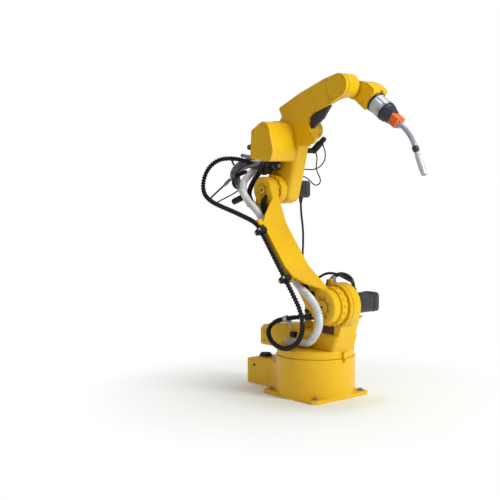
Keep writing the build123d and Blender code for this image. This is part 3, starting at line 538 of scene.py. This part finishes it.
def make_hoses():
    """The hoses and cables that are solids too, in place of those solids; the pieces that pass a joint ride
    on no body.
    """
    black = (black_ribs, black_rubber, "black_hose")
    silver = (silver_ribs, silver_rubber, "silver_hose")
    loop = conduit("black_conduit_loop", black_upper, *black, ["black_hose_upper"])
    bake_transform(loop)
    run = conduit("black_conduit_run", [black_upper[-1], black_lower[0]], *black, ["black_hose_arm"])
    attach(run, "lower_arm")
    low = conduit("black_conduit_low", black_lower, *black, ["black_hose_lower"])
    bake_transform(low)
    back = conduit("silver_conduit_back", silver_upper, *silver, ["silver_hose_upper"])
    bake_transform(back)
    duct = conduit("silver_conduit_duct", [silver_upper[-1], silver_lower[0]], *silver, ["silver_hose_arm"])
    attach(duct, "lower_arm")
    front = conduit("silver_conduit_front", silver_lower, *silver, ["silver_hose_lower"])
    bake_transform(front)
    inner = conduit("black_conduit_inner", inner_route, inner_ribs, black_rubber, "black_hose",
                    ["black_hose_inner"])
    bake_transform(inner)
    hanging = plain_cable("elbow_cable", elbow_cable, motor_cable, ["elbow_motor_cable"])
    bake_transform(hanging)
    arched = plain_cable("shoulder_cable", shoulder_route, shoulder_cable, ["shoulder_motor_cable"])
    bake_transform(arched)
    for name, points in (("signal_wire_upper", wire_upper), ("signal_wire_lower", wire_lower)):
        wire = plain_cable(name, points, signal_wire, ["roll_drive_wires"])
        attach(wire, "upper_arm")


make_hoses()


# Connectors and cables on the turret

def make_turret_plugs():
    """Two grey connectors and a black one, their plate, and the cable that arches to the motor."""
    mesh = bmesh.new()
    for foot, axis, size in (((0.101, -0.018, 0.4570), (0.30, 0.25, 0.92), 0.0135),
                             ((0.078, 0.000, 0.4375), (-0.30, 0.10, 0.95), 0.0120)):
        add_round(mesh, placed(foot, axis), [
            (-0.004, 1.15 * size), (0.006, 1.15 * size), (0.008, 0.9 * size), (0.012, 0.9 * size),
            (0.0125, size), (0.026, size), (0.027, 0.82 * size), (0.034, 0.8 * size),
            (0.038, 0.6 * size)], 28)
    smooth(piece("turret_plugs_grey", mesh, grey_sleeve, "turret"), 35)
    mesh = bmesh.new()
    add_round(mesh, placed((0.074, -0.032, 0.4325), (-0.45, -0.1, 0.88)), [
        (-0.004, 0.011), (0.012, 0.011), (0.013, 0.0135), (0.023, 0.0135), (0.024, 0.0105),
        (0.034, 0.0095)], 24)
    smooth(piece("turret_plug_black", mesh, plug_black, "turret"), 35)
    mesh = bmesh.new()
    slope = Matrix.Rotation(math.radians(-44), 4, "Y")
    add_block(mesh, at(0.0868, -0.015, 0.4452) @ slope, (0.056, 0.056, 0.006), 0.0015)
    smooth(piece("turret_plug_plate", mesh, brown_rubber_and_shade, "turret"), 35)
    loom = [(0.1105, -0.010, 0.4870), (0.117, 0.008, 0.5000), (0.123, 0.040, 0.4960), (0.128, 0.070, 0.4800),
            (0.130, 0.084, 0.452), (0.130, 0.084, 0.430)]
    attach(conduit("motor_loom", loom, loom_ribs, black_rubber, "black_hose"), "turret")


def make_cable_bracket():
    """Upright plate behind the lower loop, with three clips."""
    bracket_x = -0.048
    mesh = bmesh.new()
    add_block(mesh, at(bracket_x, 0.004, 0.3315), (0.038, 0.004, 0.097), 0.0012)
    add_block(mesh, at(bracket_x, 0.016, 0.2862), (0.038, 0.028, 0.007), 0.0012)
    smooth(piece("cable_bracket", mesh, yellow, "turret"), 35)
    mesh = bmesh.new()
    for z in (0.304, 0.335, 0.366):
        add_round(mesh, placed((bracket_x, 0.002, z), near), [
            (-0.001, 0.0095), (0.008, 0.0095), (0.009, 0.0075)], 24)
        add_block(mesh, at(bracket_x, -0.005, z), (0.024, 0.005, 0.006), 0.0015)
    smooth(piece("cable_bracket_clips", mesh, plug_black, "turret"), 35)


def make_hub_gap_shade():
    """Dark brown sheet and block under the shoulder hub, painted shade of the gap between the hub and the
    turret.
    """
    mesh = bmesh.new()
    # painted shade: a thin dark sheet and a block where the gap under the hub lies in shadow
    add_block(mesh, at(0.117, -0.0465, 0.284), (0.064, 0.003, 0.038), 0.0012)
    add_block(mesh, at(0.134, -0.049, 0.292), (0.018, 0.008, 0.020), 0.002)
    smooth(piece("hub_gap_painted_shade", mesh, brown_rubber_and_shade, "turret"), 35)


def make_tie_mounts():
    """Two mounts for cable ties on the rear housing."""
    mesh = bmesh.new()
    for x, y, z in ((-0.186, -0.030, 0.2685), (-0.150, -0.010, 0.2725)):
        add_block(mesh, at(x, y, z), (0.018, 0.012, 0.006), 0.0014)
        add_block(mesh, at(x, y, z + 0.004), (0.008, 0.012, 0.006), 0.001)
    smooth(piece("tie_mounts", mesh, pale_steel, "turret"), 35)


make_turret_plugs()
make_cable_bracket()
make_hub_gap_shade()
make_tie_mounts()


# Loose cables and leads round the elbow

def ride_elbow(item):
    """Keeps its place in the frame on no body, as the silver hose does."""
    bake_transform(item)


def bundle_strand(index, points, spread):
    """One cable of a loose bundle: it winds round the others along their common route."""
    winding = 1.3
    line = []
    for step, point in enumerate(points):
        angle = math.tau * index / 3 + winding * step
        shift = Vector((0.5 * math.cos(angle), math.cos(angle), math.sin(angle))) * spread
        line.append(tuple(Vector(point) + shift))
    return line


def make_loose_bundles():
    """Two loose bundles behind the silver hose, the second inside the bend of the first."""
    outer = elbow_route([
        (-0.064, -0.052, 0.110), (-0.118, -0.056, 0.120), (-0.176, -0.060, 0.116), (-0.222, -0.066, 0.094),
        (-0.236, -0.074, 0.056), (-0.186, -0.088, 0.020), (-0.130, -0.104, -0.012), (-0.086, -0.122, -0.036),
        (-0.050, -0.132, -0.058)])
    outer += [arm_point(duct_hose_top + 0.030, -0.046, -0.131),
              arm_point(duct_hose_top - 0.020, -0.036, -0.131)]
    inner = elbow_route([
        (-0.064, -0.060, 0.098), (-0.112, -0.070, 0.100), (-0.172, -0.076, 0.094), (-0.206, -0.080, 0.064),
        (-0.188, -0.088, 0.034), (-0.142, -0.100, 0.008), (-0.108, -0.112, -0.016), (-0.082, -0.124, -0.040),
        (-0.050, -0.134, -0.060)])
    for name, route, spread, sleeves in (
            ("elbow_bundle", outer, 0.0105, (grey_sleeve, silver_rubber, grey_sleeve, silver_rubber)),
            ("elbow_inner_strand", inner, 0.0095, (dark_sleeve, grey_sleeve, dark_sleeve))):
        for index, sleeve in enumerate(sleeves):
            strand = bundle_strand(index, route, spread)
            ride_elbow(conduit(f"{name}_{index}", strand, strand_ribs, sleeve, "silver_hose", sides=12))


def make_spare_hose():
    """Short hose that hangs inside the loop, with a cap over its end."""
    route = elbow_route([
        (-0.146, -0.070, 0.074), (-0.204, -0.088, 0.058), (-0.206, -0.098, 0.018), (-0.150, -0.105, 0.000),
        (-0.112, -0.110, -0.022), (-0.134, -0.112, -0.036), (-0.156, -0.1135, -0.0445)])
    ride_elbow(conduit("spare_hose", route, spare_ribs, black_rubber, "black_hose"))
    overlap = 0.026
    mesh = bmesh.new()
    tail = Vector(route[-1]) - Vector(route[-2])
    add_round(mesh, placed(Vector(route[-1]) - overlap * tail.normalized(), tail), [
        (0, 0.0125), (0.002, 0.0135), (0.03, 0.0135), (0.031, 0.012), (0.034, 0.012), (0.035, 0.0135),
        (0.051, 0.013), (0.054, 0.010)], 28)
    ride_elbow(smooth(piece("spare_hose_cap", mesh, plug_black), 35))


def make_sensor_lead():
    """Thin lead inside the loop, with its grey plug."""
    route = elbow_route([(-0.256, -0.184, -0.042), (-0.226, -0.162, -0.006), (-0.206, -0.144, 0.017)])
    ride_elbow(plain_cable("sensor_lead", route, diameter=0.0074))
    mesh = bmesh.new()
    along = Vector(elbow_point(-0.199, -0.126, 0.036)) - Vector(route[-1])
    add_round(mesh, placed(Vector(route[-1]) - 0.1 * along, along), [
        (0, 0.0045), (0.004, 0.0065), (0.012, 0.0065), (0.013, 0.0078), (0.022, 0.0078), (0.023, 0.0064),
        (0.026, 0.0064), (0.027, 0.0072), (0.038, 0.0068)], 20)
    ride_elbow(smooth(piece("sensor_lead_plug", mesh, grey_sleeve), 35))


def make_loop_straps():
    """Thin straps between the black loop and the cables inside it."""
    low = elbow_route([(-0.205, -0.193, -0.058), (-0.183, -0.150, -0.033), (-0.160, -0.116, -0.012),
                       (-0.148, -0.104, 0.004)])
    ride_elbow(plain_cable("strap_low", low, diameter=0.0056))
    high = elbow_route([(-0.201, -0.110, 0.132), (-0.213, -0.098, 0.121), (-0.224, -0.078, 0.104)])
    ride_elbow(plain_cable("strap_high", high, diameter=0.0085))


make_loose_bundles()
make_spare_hose()
make_sensor_lead()
make_loop_straps()


# Couplings and hose ends

def make_hose_ends():
    """Nuts and collars where the black hose is held, at the elbow and at the turret."""
    for name, body, start, after in (("upper_hose_nut", "upper_arm", black_upper[0], black_upper[1]),
                                     ("lower_hose_nut", "turret", black_lower[-1], black_lower[-2])):
        mesh = bmesh.new()
        place = placed(start, Vector(after) - Vector(start))
        add_round(mesh, place, [(-0.001, 0.0140), (0.010, 0.0140), (0.012, 0.0124)], 6)
        add_round(mesh, place, [(0.011, 0.0120), (0.019, 0.0120), (0.021, 0.0108)], 28)
        smooth(piece(name, mesh, plug_black, body), 30)


def make_upper_coupling():
    """Knurled collars and a bright screw end on the coupling that holds the black loop."""
    start = Vector(black_upper[0])
    forwards = (1, 0, 0)
    mesh = bmesh.new()
    for low, high, radius, count in ((0.014, 0.028, 0.0172, 22), (0.038, 0.066, 0.0182, 24),
                                     (0.078, 0.089, 0.0162, 20)):
        middle = Matrix.Translation(start + Vector(((low + high) / 2, 0, 0)))
        for index in range(count):
            turn = Matrix.Rotation(math.tau * index / count, 4, "X")
            add_block(mesh, middle @ turn @ at(0, 0, radius), (high - low, 0.0026, 0.003), 0.0006, 2)
    smooth(piece("coupling_knurls", mesh, plug_black, "upper_arm"), 30)
    mesh = bmesh.new()
    add_round(mesh, placed(start + Vector((0.092, 0, 0)), forwards), [
        (-0.001, 0.0095), (0.003, 0.0095), (0.004, 0.0085), (0.004, 0.006), (0.0015, 0.0055)], 6)
    for middle in (0.0325, 0.072):
        add_round(mesh, placed(start + Vector((middle, 0, 0)), forwards), [
            (-0.0016, 0.0150), (-0.001, 0.0160), (0.001, 0.0160), (0.0016, 0.0150)], 32)
    smooth(piece("coupling_bright_parts", mesh, bolt_steel, "upper_arm"), 30)


def make_lower_coupling():
    """Coupling of the inner hose, with two knurled collars."""
    count = 16
    mesh = bmesh.new()
    place = placed(elbow_point(-0.060, -0.070, 0.074), Vector((1, 0, 0.12)).normalized())
    add_round(mesh, place, [
        (0, 0.010), (0.002, 0.012), (0.016, 0.012), (0.0165, 0.0155), (0.030, 0.0155), (0.0305, 0.0125),
        (0.042, 0.0125), (0.0425, 0.0150), (0.058, 0.0150), (0.060, 0.0110), (0.066, 0.0100)], 28)
    for low, width, radius in ((0.0165, 0.0135, 0.0155), (0.0425, 0.0155, 0.0150)):
        for index in range(count):
            turn = Matrix.Rotation(math.tau * index / count, 4, "Z")
            add_block(mesh, place @ turn @ at(radius, 0, low + width / 2), (0.003, 0.0032, width), 0.0006, 2)
    smooth(piece("lower_coupling", mesh, plug_black, "upper_arm"), 30)


def make_block_breather():
    """Hexagon breather on the back of the side block."""
    seat_x = -0.0215
    backwards = (-1, 0, 0)
    mesh = bmesh.new()
    add_round(mesh, placed(elbow_point(seat_x, -0.146, 0.174), backwards), [
        (0, 0.0145), (0.012, 0.0145), (0.013, 0.0135)], 6)
    add_round(mesh, placed(elbow_point(seat_x - 0.012, -0.146, 0.174), backwards), [
        (0, 0.011), (0.012, 0.011), (0.014, 0.008)], 24)
    smooth(piece("block_breather", mesh, brown_steel, "upper_arm"), 30)


def make_loop_connector():
    """Grey connector over the start of the black loop."""
    mesh = bmesh.new()
    add_round(mesh, placed(elbow_point(-0.160, -0.090, 0.143), (0.052, 0.012, -0.008)), [
        (0, 0.005), (0.003, 0.0078), (0.016, 0.0078), (0.017, 0.0066), (0.022, 0.0066), (0.023, 0.0078),
        (0.046, 0.0072), (0.053, 0.004)], 22)
    smooth(piece("loop_connector", mesh, grey_sleeve, "upper_arm"), 35)


def make_duct_cables():
    """Cables that leave both ends of the duct and go into the arm's near face."""
    grommet_y = -0.1165
    mesh = bmesh.new()
    for index in range(3):
        depth = -0.035 + 0.012 * index
        points = [arm_point(0.430, depth, -0.134), arm_point(0.475, depth, -0.133),
                  arm_point(0.507, depth + 0.006, -0.131), arm_point(0.528, depth + 0.014, -0.125),
                  arm_point(0.533, depth + 0.016, -0.114)]
        cable = conduit(f"duct_cable_{index}", points, duct_cable_ribs, black_rubber, "black_hose", sides=12)
        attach(cable, "lower_arm")
        add_round(mesh, placed(arm_point(0.533, depth + 0.016, grommet_y), near), [
            (-0.002, 0.0076), (0.003, 0.0076), (0.005, 0.006)], 24)
    foot = [arm_point(0.145, -0.004, -0.136), arm_point(0.112, -0.006, -0.137),
            arm_point(0.082, -0.010, -0.136), arm_point(0.068, -0.014, -0.128),
            arm_point(0.066, -0.015, -0.114)]
    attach(conduit("duct_foot_cable", foot, duct_foot_ribs, black_rubber, "black_hose"), "lower_arm")
    add_round(mesh, placed(arm_point(0.066, -0.015, grommet_y), near), [
        (-0.002, 0.0150), (0.004, 0.0150), (0.006, 0.0125)], 28)
    smooth(piece("duct_cable_grommets", mesh, plug_black, "lower_arm"), 35)


make_hose_ends()
make_upper_coupling()
make_lower_coupling()
make_block_breather()
make_loop_connector()
make_duct_cables()


# Bolts, screws and hub caps

def painted_screws(name, body, spots, size):
    """Screw heads painted over with the casting; each socket is a dark hexagon of blackened steel standing
    proud of the head, painting the shade in the socket hole.
    """
    heads = bmesh.new()
    socket_shade = bmesh.new()
    for centre, axis in spots:
        place = placed(centre, axis)
        add_round(heads, place, [(-0.2 * size, size), (0.7 * size, size), (0.85 * size, 0.84 * size)], 22)
        # painted shade: a dark hexagon in place of the socket hole
        add_round(socket_shade, place, [(0.5 * size, 0.56 * size), (0.88 * size, 0.56 * size)], 6)
    smooth(piece(name, heads, yellow, body), 35)
    smooth(piece(name + "_sockets", socket_shade, dark_steel, body), 35)


def ring_spots(centre, axis, radius, count, turn=0.0):
    return [(point, axis) for point in around(centre, axis, radius, count, turn)]


def make_base_bolts():
    """Four hexagon bolts at the corners of the base plate."""
    half_pattern = 0.130
    plate_top = 0.014
    bolt_width = 0.0145
    mesh = bmesh.new()
    for x in (-half_pattern, half_pattern):
        for y in (-half_pattern, half_pattern):
            add_hex_bolt(mesh, (x, y, plate_top), (0, 0, 1), bolt_width)
    smooth(piece("base_bolts", mesh, bolt_steel, "base"), 30)


def make_boss_screws():
    """Rings of screws round the shoulder boss and the elbow boss."""
    for name, body, joint, face_y, radius, count, size in (
            ("shoulder_screws", "turret", shoulder, -0.046, 0.0824, 18, 0.0044),
            ("elbow_screws", "upper_arm", elbow, -0.060, 0.0540, 12, 0.0058)):
        painted_screws(name, body, ring_spots((joint.x, face_y, joint.z), near, radius, count), size)


def make_hub_faces():
    """Cap, plug and screws in the round recess of each hub, and a dark ochre ring round the cap as painted
    shade of the groove there.
    """
    recess_y = -0.113
    cap_top = 0.0052
    plug_foot = cap_top - 0.0004
    for name, joint, cap, radius, count, size in (
            ("elbow", elbow, 0.0185, 0.0262, 6, 0.0036), ("shoulder", shoulder, 0.0285, 0.0390, 8, 0.0048)):
        centre = (joint.x, recess_y, joint.z)
        place = placed(centre, near)
        spots = ring_spots(centre, near, radius, count, turn=0.4)
        painted_screws(name + "_hub_screws", "lower_arm", spots, size)
        mesh = bmesh.new()
        add_round(mesh, place, [(-0.001, cap), (0.0040, cap), (cap_top, cap - 0.0014),
                                (cap_top, 0.62 * cap), (0.0044, 0.60 * cap)], 56)
        smooth(piece(name + "_hub_cap", mesh, yellow, "lower_arm"), 35)
        # painted shade: a dark ochre disc under the cap, whose rim shows as a ring in the groove
        mesh = bmesh.new()
        add_round(mesh, place, [(-0.001, cap + 0.0026), (0.0014, cap + 0.0026), (0.0018, cap + 0.0016)], 56)
        smooth(piece(name + "_hub_shade_ring", mesh, ochre_painted_shade, "lower_arm"), 35)
        mesh = bmesh.new()
        add_round(mesh, placed((joint.x, recess_y - plug_foot, joint.z), near), [
            (0, 0.0056), (0.0016, 0.0056), (0.002, 0.0046)], 6)
        smooth(piece(name + "_hub_plug", mesh, brown_steel, "lower_arm"), 30)


def make_reducer_screws():
    """Screws that stand out round the rim of the shoulder's reducer."""
    rim_y = -0.0690
    rim_radius = 0.0768
    centre = Vector((shoulder.x, rim_y, shoulder.z))
    spots = [(point, point - centre) for point in around(centre, near, rim_radius, count=18, turn=0.1)]
    painted_screws("reducer_screws", "lower_arm", spots, size=0.0042)


def make_drive_cap_screws():
    """Four screws in the end cap of the roll drive."""
    drive_start = 0.122
    drive_length = 0.038
    cap_length = 0.0165
    face = elbow_point(drive_start + drive_length + cap_length, 0.025, 0.243)
    spots = ring_spots(face, (1, 0, 0), radius=0.0225, count=4, turn=0.6)
    painted_screws("drive_cap_screws", "upper_arm", spots, size=0.0034)


def make_wrist_cover_screws():
    """Four screws round the front of the wrist cover and two at its back."""
    cover_y = -0.028
    front_ring = 0.036
    back = 0.048
    half_back = 0.037
    across = Vector((-roll_axis.z, 0, roll_axis.x))
    centre = Vector((bend.x, cover_y, bend.z))
    spots = []
    for turn in (-80, -27, 27, 80):
        angle = math.radians(turn)
        spots.append((centre + front_ring * (math.cos(angle) * roll_axis + math.sin(angle) * across), near))
    for side in (-half_back, half_back):
        spots.append((centre - back * roll_axis + side * across, near))
    painted_screws("wrist_cover_screws", "wrist_roll", spots, size=0.0034)


def make_motor_screws():
    """Four screws at the corners of each motor's foot."""
    for name, body, joint, half, foot_y in (("shoulder_motor_screws", "turret", shoulder, 0.0325, 0.026),
                                            ("elbow_motor_screws", "upper_arm", elbow, 0.0298, 0.056)):
        mesh = bmesh.new()
        for sx in (-1, 1):
            for sz in (-1, 1):
                add_socket_screw(mesh, (joint.x + sx * half, foot_y, joint.z + sz * half), (0, 1, 0), 0.0042)
        smooth(piece(name, mesh, bolt_steel, body), 35)


def make_motor_ribs():
    """Cooling ribs on the four sides of both motors, and the screws of their end caps."""
    flange = 0.010
    end_cap = 0.026
    side_inset = 0.003
    rib_proud = 0.0006
    rib_pitch = 0.0105
    corner_inset = 0.0105
    for name, body, joint, size, low, high in (("shoulder_motor", "turret", shoulder, 0.078, 0.016, 0.174),
                                               ("elbow_motor", "upper_arm", elbow, 0.072, 0.046, 0.130)):
        mesh = bmesh.new()
        rib_middle = size / 2 - side_inset + rib_proud
        reach = high - low - flange - end_cap
        middle = at(joint.x, low + flange + reach / 2, joint.z)
        for side in range(4):
            turn = Matrix.Rotation(math.radians(90 * side), 4, "Y")
            for index in range(-2, 3):
                spot = middle @ turn @ at(index * rib_pitch, 0, rib_middle)
                add_block(mesh, spot, (0.0042, reach - 0.006, 0.0026), 0.0008, 2)
        corner = size / 2 - corner_inset
        for sx in (-1, 1):
            for sz in (-1, 1):
                point = (joint.x + sx * corner, high - 0.001, joint.z + sz * corner)
                add_round(mesh, placed(point, (0, 1, 0)), [
                    (0, 0.004), (0.0028, 0.004), (0.0032, 0.0034), (0.0032, 0.002), (0.001, 0.0018)], 18)
        smooth(piece(name + "_ribs", mesh, motor_black, body), 35)


def make_motor_glands():
    """Glands where the cables enter the motors."""
    up = (0, 0, 1)
    mesh = bmesh.new()
    socket = placed((shoulder.x, motor_plug_y, 0.4285), up)
    add_round(mesh, socket, [(-0.009, 0.0105), (-0.003, 0.0105), (0, 0.0085)], 6)
    add_round(mesh, socket, [(-0.002, 0.0082), (0.010, 0.0078), (0.014, 0.0058)], 24)
    loom_foot = placed((0.130, 0.084, 0.4190), up)
    add_round(mesh, loom_foot, [(-0.001, 0.0150), (0.008, 0.0150), (0.010, 0.0130)], 6)
    add_round(mesh, loom_foot, [(0.009, 0.0110), (0.018, 0.0110), (0.020, 0.0092)], 24)
    smooth(piece("shoulder_motor_gland", mesh, plug_black, "turret"), 30)
    mesh = bmesh.new()
    under = placed(elbow_cable[0], (0, 0, -1))
    add_round(mesh, under, [(-0.004, 0.0095), (0.007, 0.0095), (0.009, 0.008)], 6)
    add_round(mesh, under, [(0.008, 0.0074), (0.020, 0.007), (0.026, 0.0052)], 24)
    smooth(piece("elbow_motor_gland", mesh, plug_black, "upper_arm"), 30)


def make_clamp_details():
    """Screws of the hose clamps on the arm, and the strap clamp on the rear housing."""
    clamp_face_y = -0.239
    half_spacing = 0.0145
    mesh = bmesh.new()
    for along in (upper_clamp_at, lower_clamp_at):
        for depth in (arm_hose_depth - half_spacing, arm_hose_depth + half_spacing):
            add_socket_screw(mesh, arm_point(along, depth, clamp_face_y), near, 0.0046)
    smooth(piece("hose_clamp_screws", mesh, pale_steel, "lower_arm"), 35)
    strap_x = -0.101
    mesh = bmesh.new()
    add_round(mesh, placed((strap_x, -0.071, 0.303), (0.110, 0.028, 0.026)), [
        (-0.008, 0.0104), (-0.008, 0.0132), (0.008, 0.0132), (0.008, 0.0104)], 32)
    add_block(mesh, at(strap_x, -0.0476, 0.281), (0.018, 0.003, 0.040), 0.001)
    add_block(mesh, at(strap_x, -0.0565, 0.298), (0.018, 0.019, 0.003), 0.001)
    add_socket_screw(mesh, (strap_x, -0.0492, 0.272), near, 0.004)
    smooth(piece("rear_strap_clamp", mesh, pale_steel, "turret", ["rear_hose_clamp"]), 35)


def make_torch_details():
    """Seal rings, screws and fine rings of the torch mount, and the screws of the torch clamp."""
    axis_y = 0.094
    mount_start = 0.1175
    mount_end = mount_start + 0.058
    collar_length = 0.044
    clamp_half = 0.019
    mount_radius = 0.0392
    wrist = Vector((bend.x, axis_y, bend.z))
    side = tool_axis.cross(near).normalized()

    def on_axis(distance):
        return wrist + tool_axis * distance

    mesh = bmesh.new()
    add_round(mesh, placed(on_axis(mount_end), tool_axis), [
        (-0.0012, 0.0392), (-0.0008, 0.0404), (0.0008, 0.0404), (0.0012, 0.0392)], 56)
    add_round(mesh, placed(on_axis(mount_start), tool_axis), [
        (-0.0003, 0.0405), (0.0002, 0.0412), (0.0022, 0.0412), (0.0026, 0.0405)], 56)
    smooth(piece("mount_seal_rings", mesh, navy, "torch"), 35)
    mesh = bmesh.new()
    for turn in (0.55, 2.1, -1.2):
        radial = (math.cos(turn) * near + math.sin(turn) * side).normalized()
        add_socket_screw(mesh, on_axis(mount_start + 0.0035) + radial * mount_radius, radial, 0.0026)
    for along in (0.0475, 0.0545):
        add_round(mesh, placed(on_axis(mount_start + along), tool_axis), [
            (-0.0004, 0.0398), (-0.0002, 0.0402), (0.0002, 0.0402), (0.0004, 0.0398)], 56)
    smooth(piece("mount_screws", mesh, bolt_steel, "torch"), 35)
    mesh = bmesh.new()
    clamp_middle = mount_end + collar_length + clamp_half
    for along in (-0.010, 0.010):
        add_socket_screw(mesh, on_axis(clamp_middle + along) + near * 0.0216 + side * 0.012, near, 0.0036)
    smooth(piece("torch_clamp_screws", mesh, bolt_steel, "torch"), 35)


def make_box_details():
    """Plugs on both sides of the cable box, and the pins of its round socket."""
    box_side_y = 0.0618
    mesh = bmesh.new()
    add_round(mesh, placed((-0.308, -box_side_y, 0.079), near), [
        (0, 0.0062), (0.0012, 0.0062), (0.0016, 0.0054)], 24)
    for x in (-0.335, -0.300, -0.265):
        add_round(mesh, placed((x, box_side_y, 0.090), (0, 1, 0)), [
            (0, 0.005), (0.0012, 0.005), (0.0016, 0.0044)], 24)
    smooth(piece("cable_box_plugs", mesh, plug_black, "base"), 35)
    up = (0, 0, 1)
    mesh = bmesh.new()
    for point in around((-0.281, -0.020, 0.1225), up, radius=0.0070, count=8):
        add_round(mesh, placed(point, up), [(0, 0.0012), (0.0065, 0.0012), (0.0072, 0.0007)], 10)
    smooth(piece("socket_pins", mesh, bolt_steel, "base"), 35)


def make_cover_screws():
    """Screws of the turret's rear housing and of the side block at the elbow."""
    housing_y = -0.046
    block_y = -0.160
    painted_screws("rear_housing_screws", "turret", [
        ((x, housing_y, z), near) for x, z in ((-0.262, 0.190), (-0.262, 0.228), (-0.190, 0.190))], 0.0042)
    painted_screws("side_block_screws", "upper_arm", [(elbow_point(x, block_y, z), near) for x, z in (
        (-0.010, 0.146), (-0.005, 0.236), (0.048, 0.262), (0.076, 0.252), (0.099, 0.166), (0.088, 0.132))],
        0.0038)


make_base_bolts()
make_boss_screws()
make_hub_faces()
make_reducer_screws()
make_drive_cap_screws()
make_wrist_cover_screws()
make_motor_screws()
make_motor_ribs()
make_motor_glands()
make_clamp_details()
make_torch_details()
make_box_details()
make_cover_screws()


# Floor, plain and pale

def make_floor():
    """Pale floor under the robot that the camera sees fade to plain white further out."""
    n = Nodes("pale_floor")
    material = n.finish((0.9, 0.94, 0.98), 0.8)
    apart = n.add("ShaderNodeVectorMath", operation="LENGTH")
    n.link(n.place, apart.inputs[0])
    fade_start = 0.28
    fade_end = 0.95
    fade = n.remap(apart.outputs["Value"], fade_start, fade_end, 0.0, 1.0)
    seen = n.math("MULTIPLY", fade, n.add("ShaderNodeLightPath").outputs["Is Camera Ray"])
    white = n.add("ShaderNodeEmission", Color=(1, 1, 1, 1), Strength=1.0)
    mixer = n.add("ShaderNodeMixShader")
    n.link(seen, mixer.inputs["Fac"])
    n.link(n.shader.outputs["BSDF"], mixer.inputs[1])
    n.link(white.outputs["Emission"], mixer.inputs[2])
    n.link(mixer.outputs["Shader"], n.tree.nodes["Material Output"].inputs["Surface"])
    mesh = bmesh.new()
    floor_radius = 40
    bmesh.ops.create_circle(mesh, cap_ends=True, segments=64, radius=floor_radius)
    data = bpy.data.meshes.new("floor")
    mesh.to_mesh(data)
    mesh.free()
    floor = bpy.data.objects.new("floor", data)
    bpy.context.scene.collection.objects.link(floor)
    data.materials.append(material)


make_floor()


# Light and camera

def area_light(name, place, target, size, power, colour):
    data = bpy.data.lights.new(name, "AREA")
    data.shape = "SQUARE"
    data.size = size
    data.energy = power
    data.color = colour
    item = bpy.data.objects.new(name, data)
    bpy.context.scene.collection.objects.link(item)
    item.location = place
    item.rotation_euler = (Vector(target) - Vector(place)).to_track_quat("-Z", "Y").to_euler()


def set_light():
    world = bpy.data.worlds.new("studio")
    bpy.context.scene.world = world
    world.use_nodes = True
    tree = world.node_tree
    lit = tree.nodes["Background"]
    lit.inputs["Color"].default_value = (1, 0.92, 0.84, 1)
    lit.inputs["Strength"].default_value = 0.36
    seen = tree.nodes.new("ShaderNodeBackground")
    seen.inputs["Color"].default_value = (1, 1, 1, 1)
    seen.inputs["Strength"].default_value = 1.0
    path = tree.nodes.new("ShaderNodeLightPath")
    mixer = tree.nodes.new("ShaderNodeMixShader")
    tree.links.new(path.outputs["Is Camera Ray"], mixer.inputs["Fac"])
    tree.links.new(lit.outputs["Background"], mixer.inputs[1])
    tree.links.new(seen.outputs["Background"], mixer.inputs[2])
    tree.links.new(mixer.outputs["Shader"], tree.nodes["World Output"].inputs["Surface"])
    middle = (0, 0, 0.7)
    area_light("key", (3.8, 0.9, 2.6), middle, 1.6, 150, (0.97, 1.0, 0.9))
    area_light("side_fill", (0.5, -4.5, 1.6), middle, 3.0, 14, (1.0, 0.86, 0.72))
    area_light("top", (-0.5, 0.5, 4.5), middle, 2.0, 62, (0.98, 1.0, 0.94))


def set_camera():
    data = bpy.data.cameras.new("camera")
    data.sensor_width = 36
    data.lens = camera_lens
    item = bpy.data.objects.new("camera", data)
    bpy.context.scene.collection.objects.link(item)
    item.location = camera_place
    item.rotation_euler = camera_view.to_track_quat("-Z", "Y").to_euler()
    bpy.context.scene.camera = item


set_light()
set_camera()
bpy.context.scene.view_settings.view_transform = "Standard"
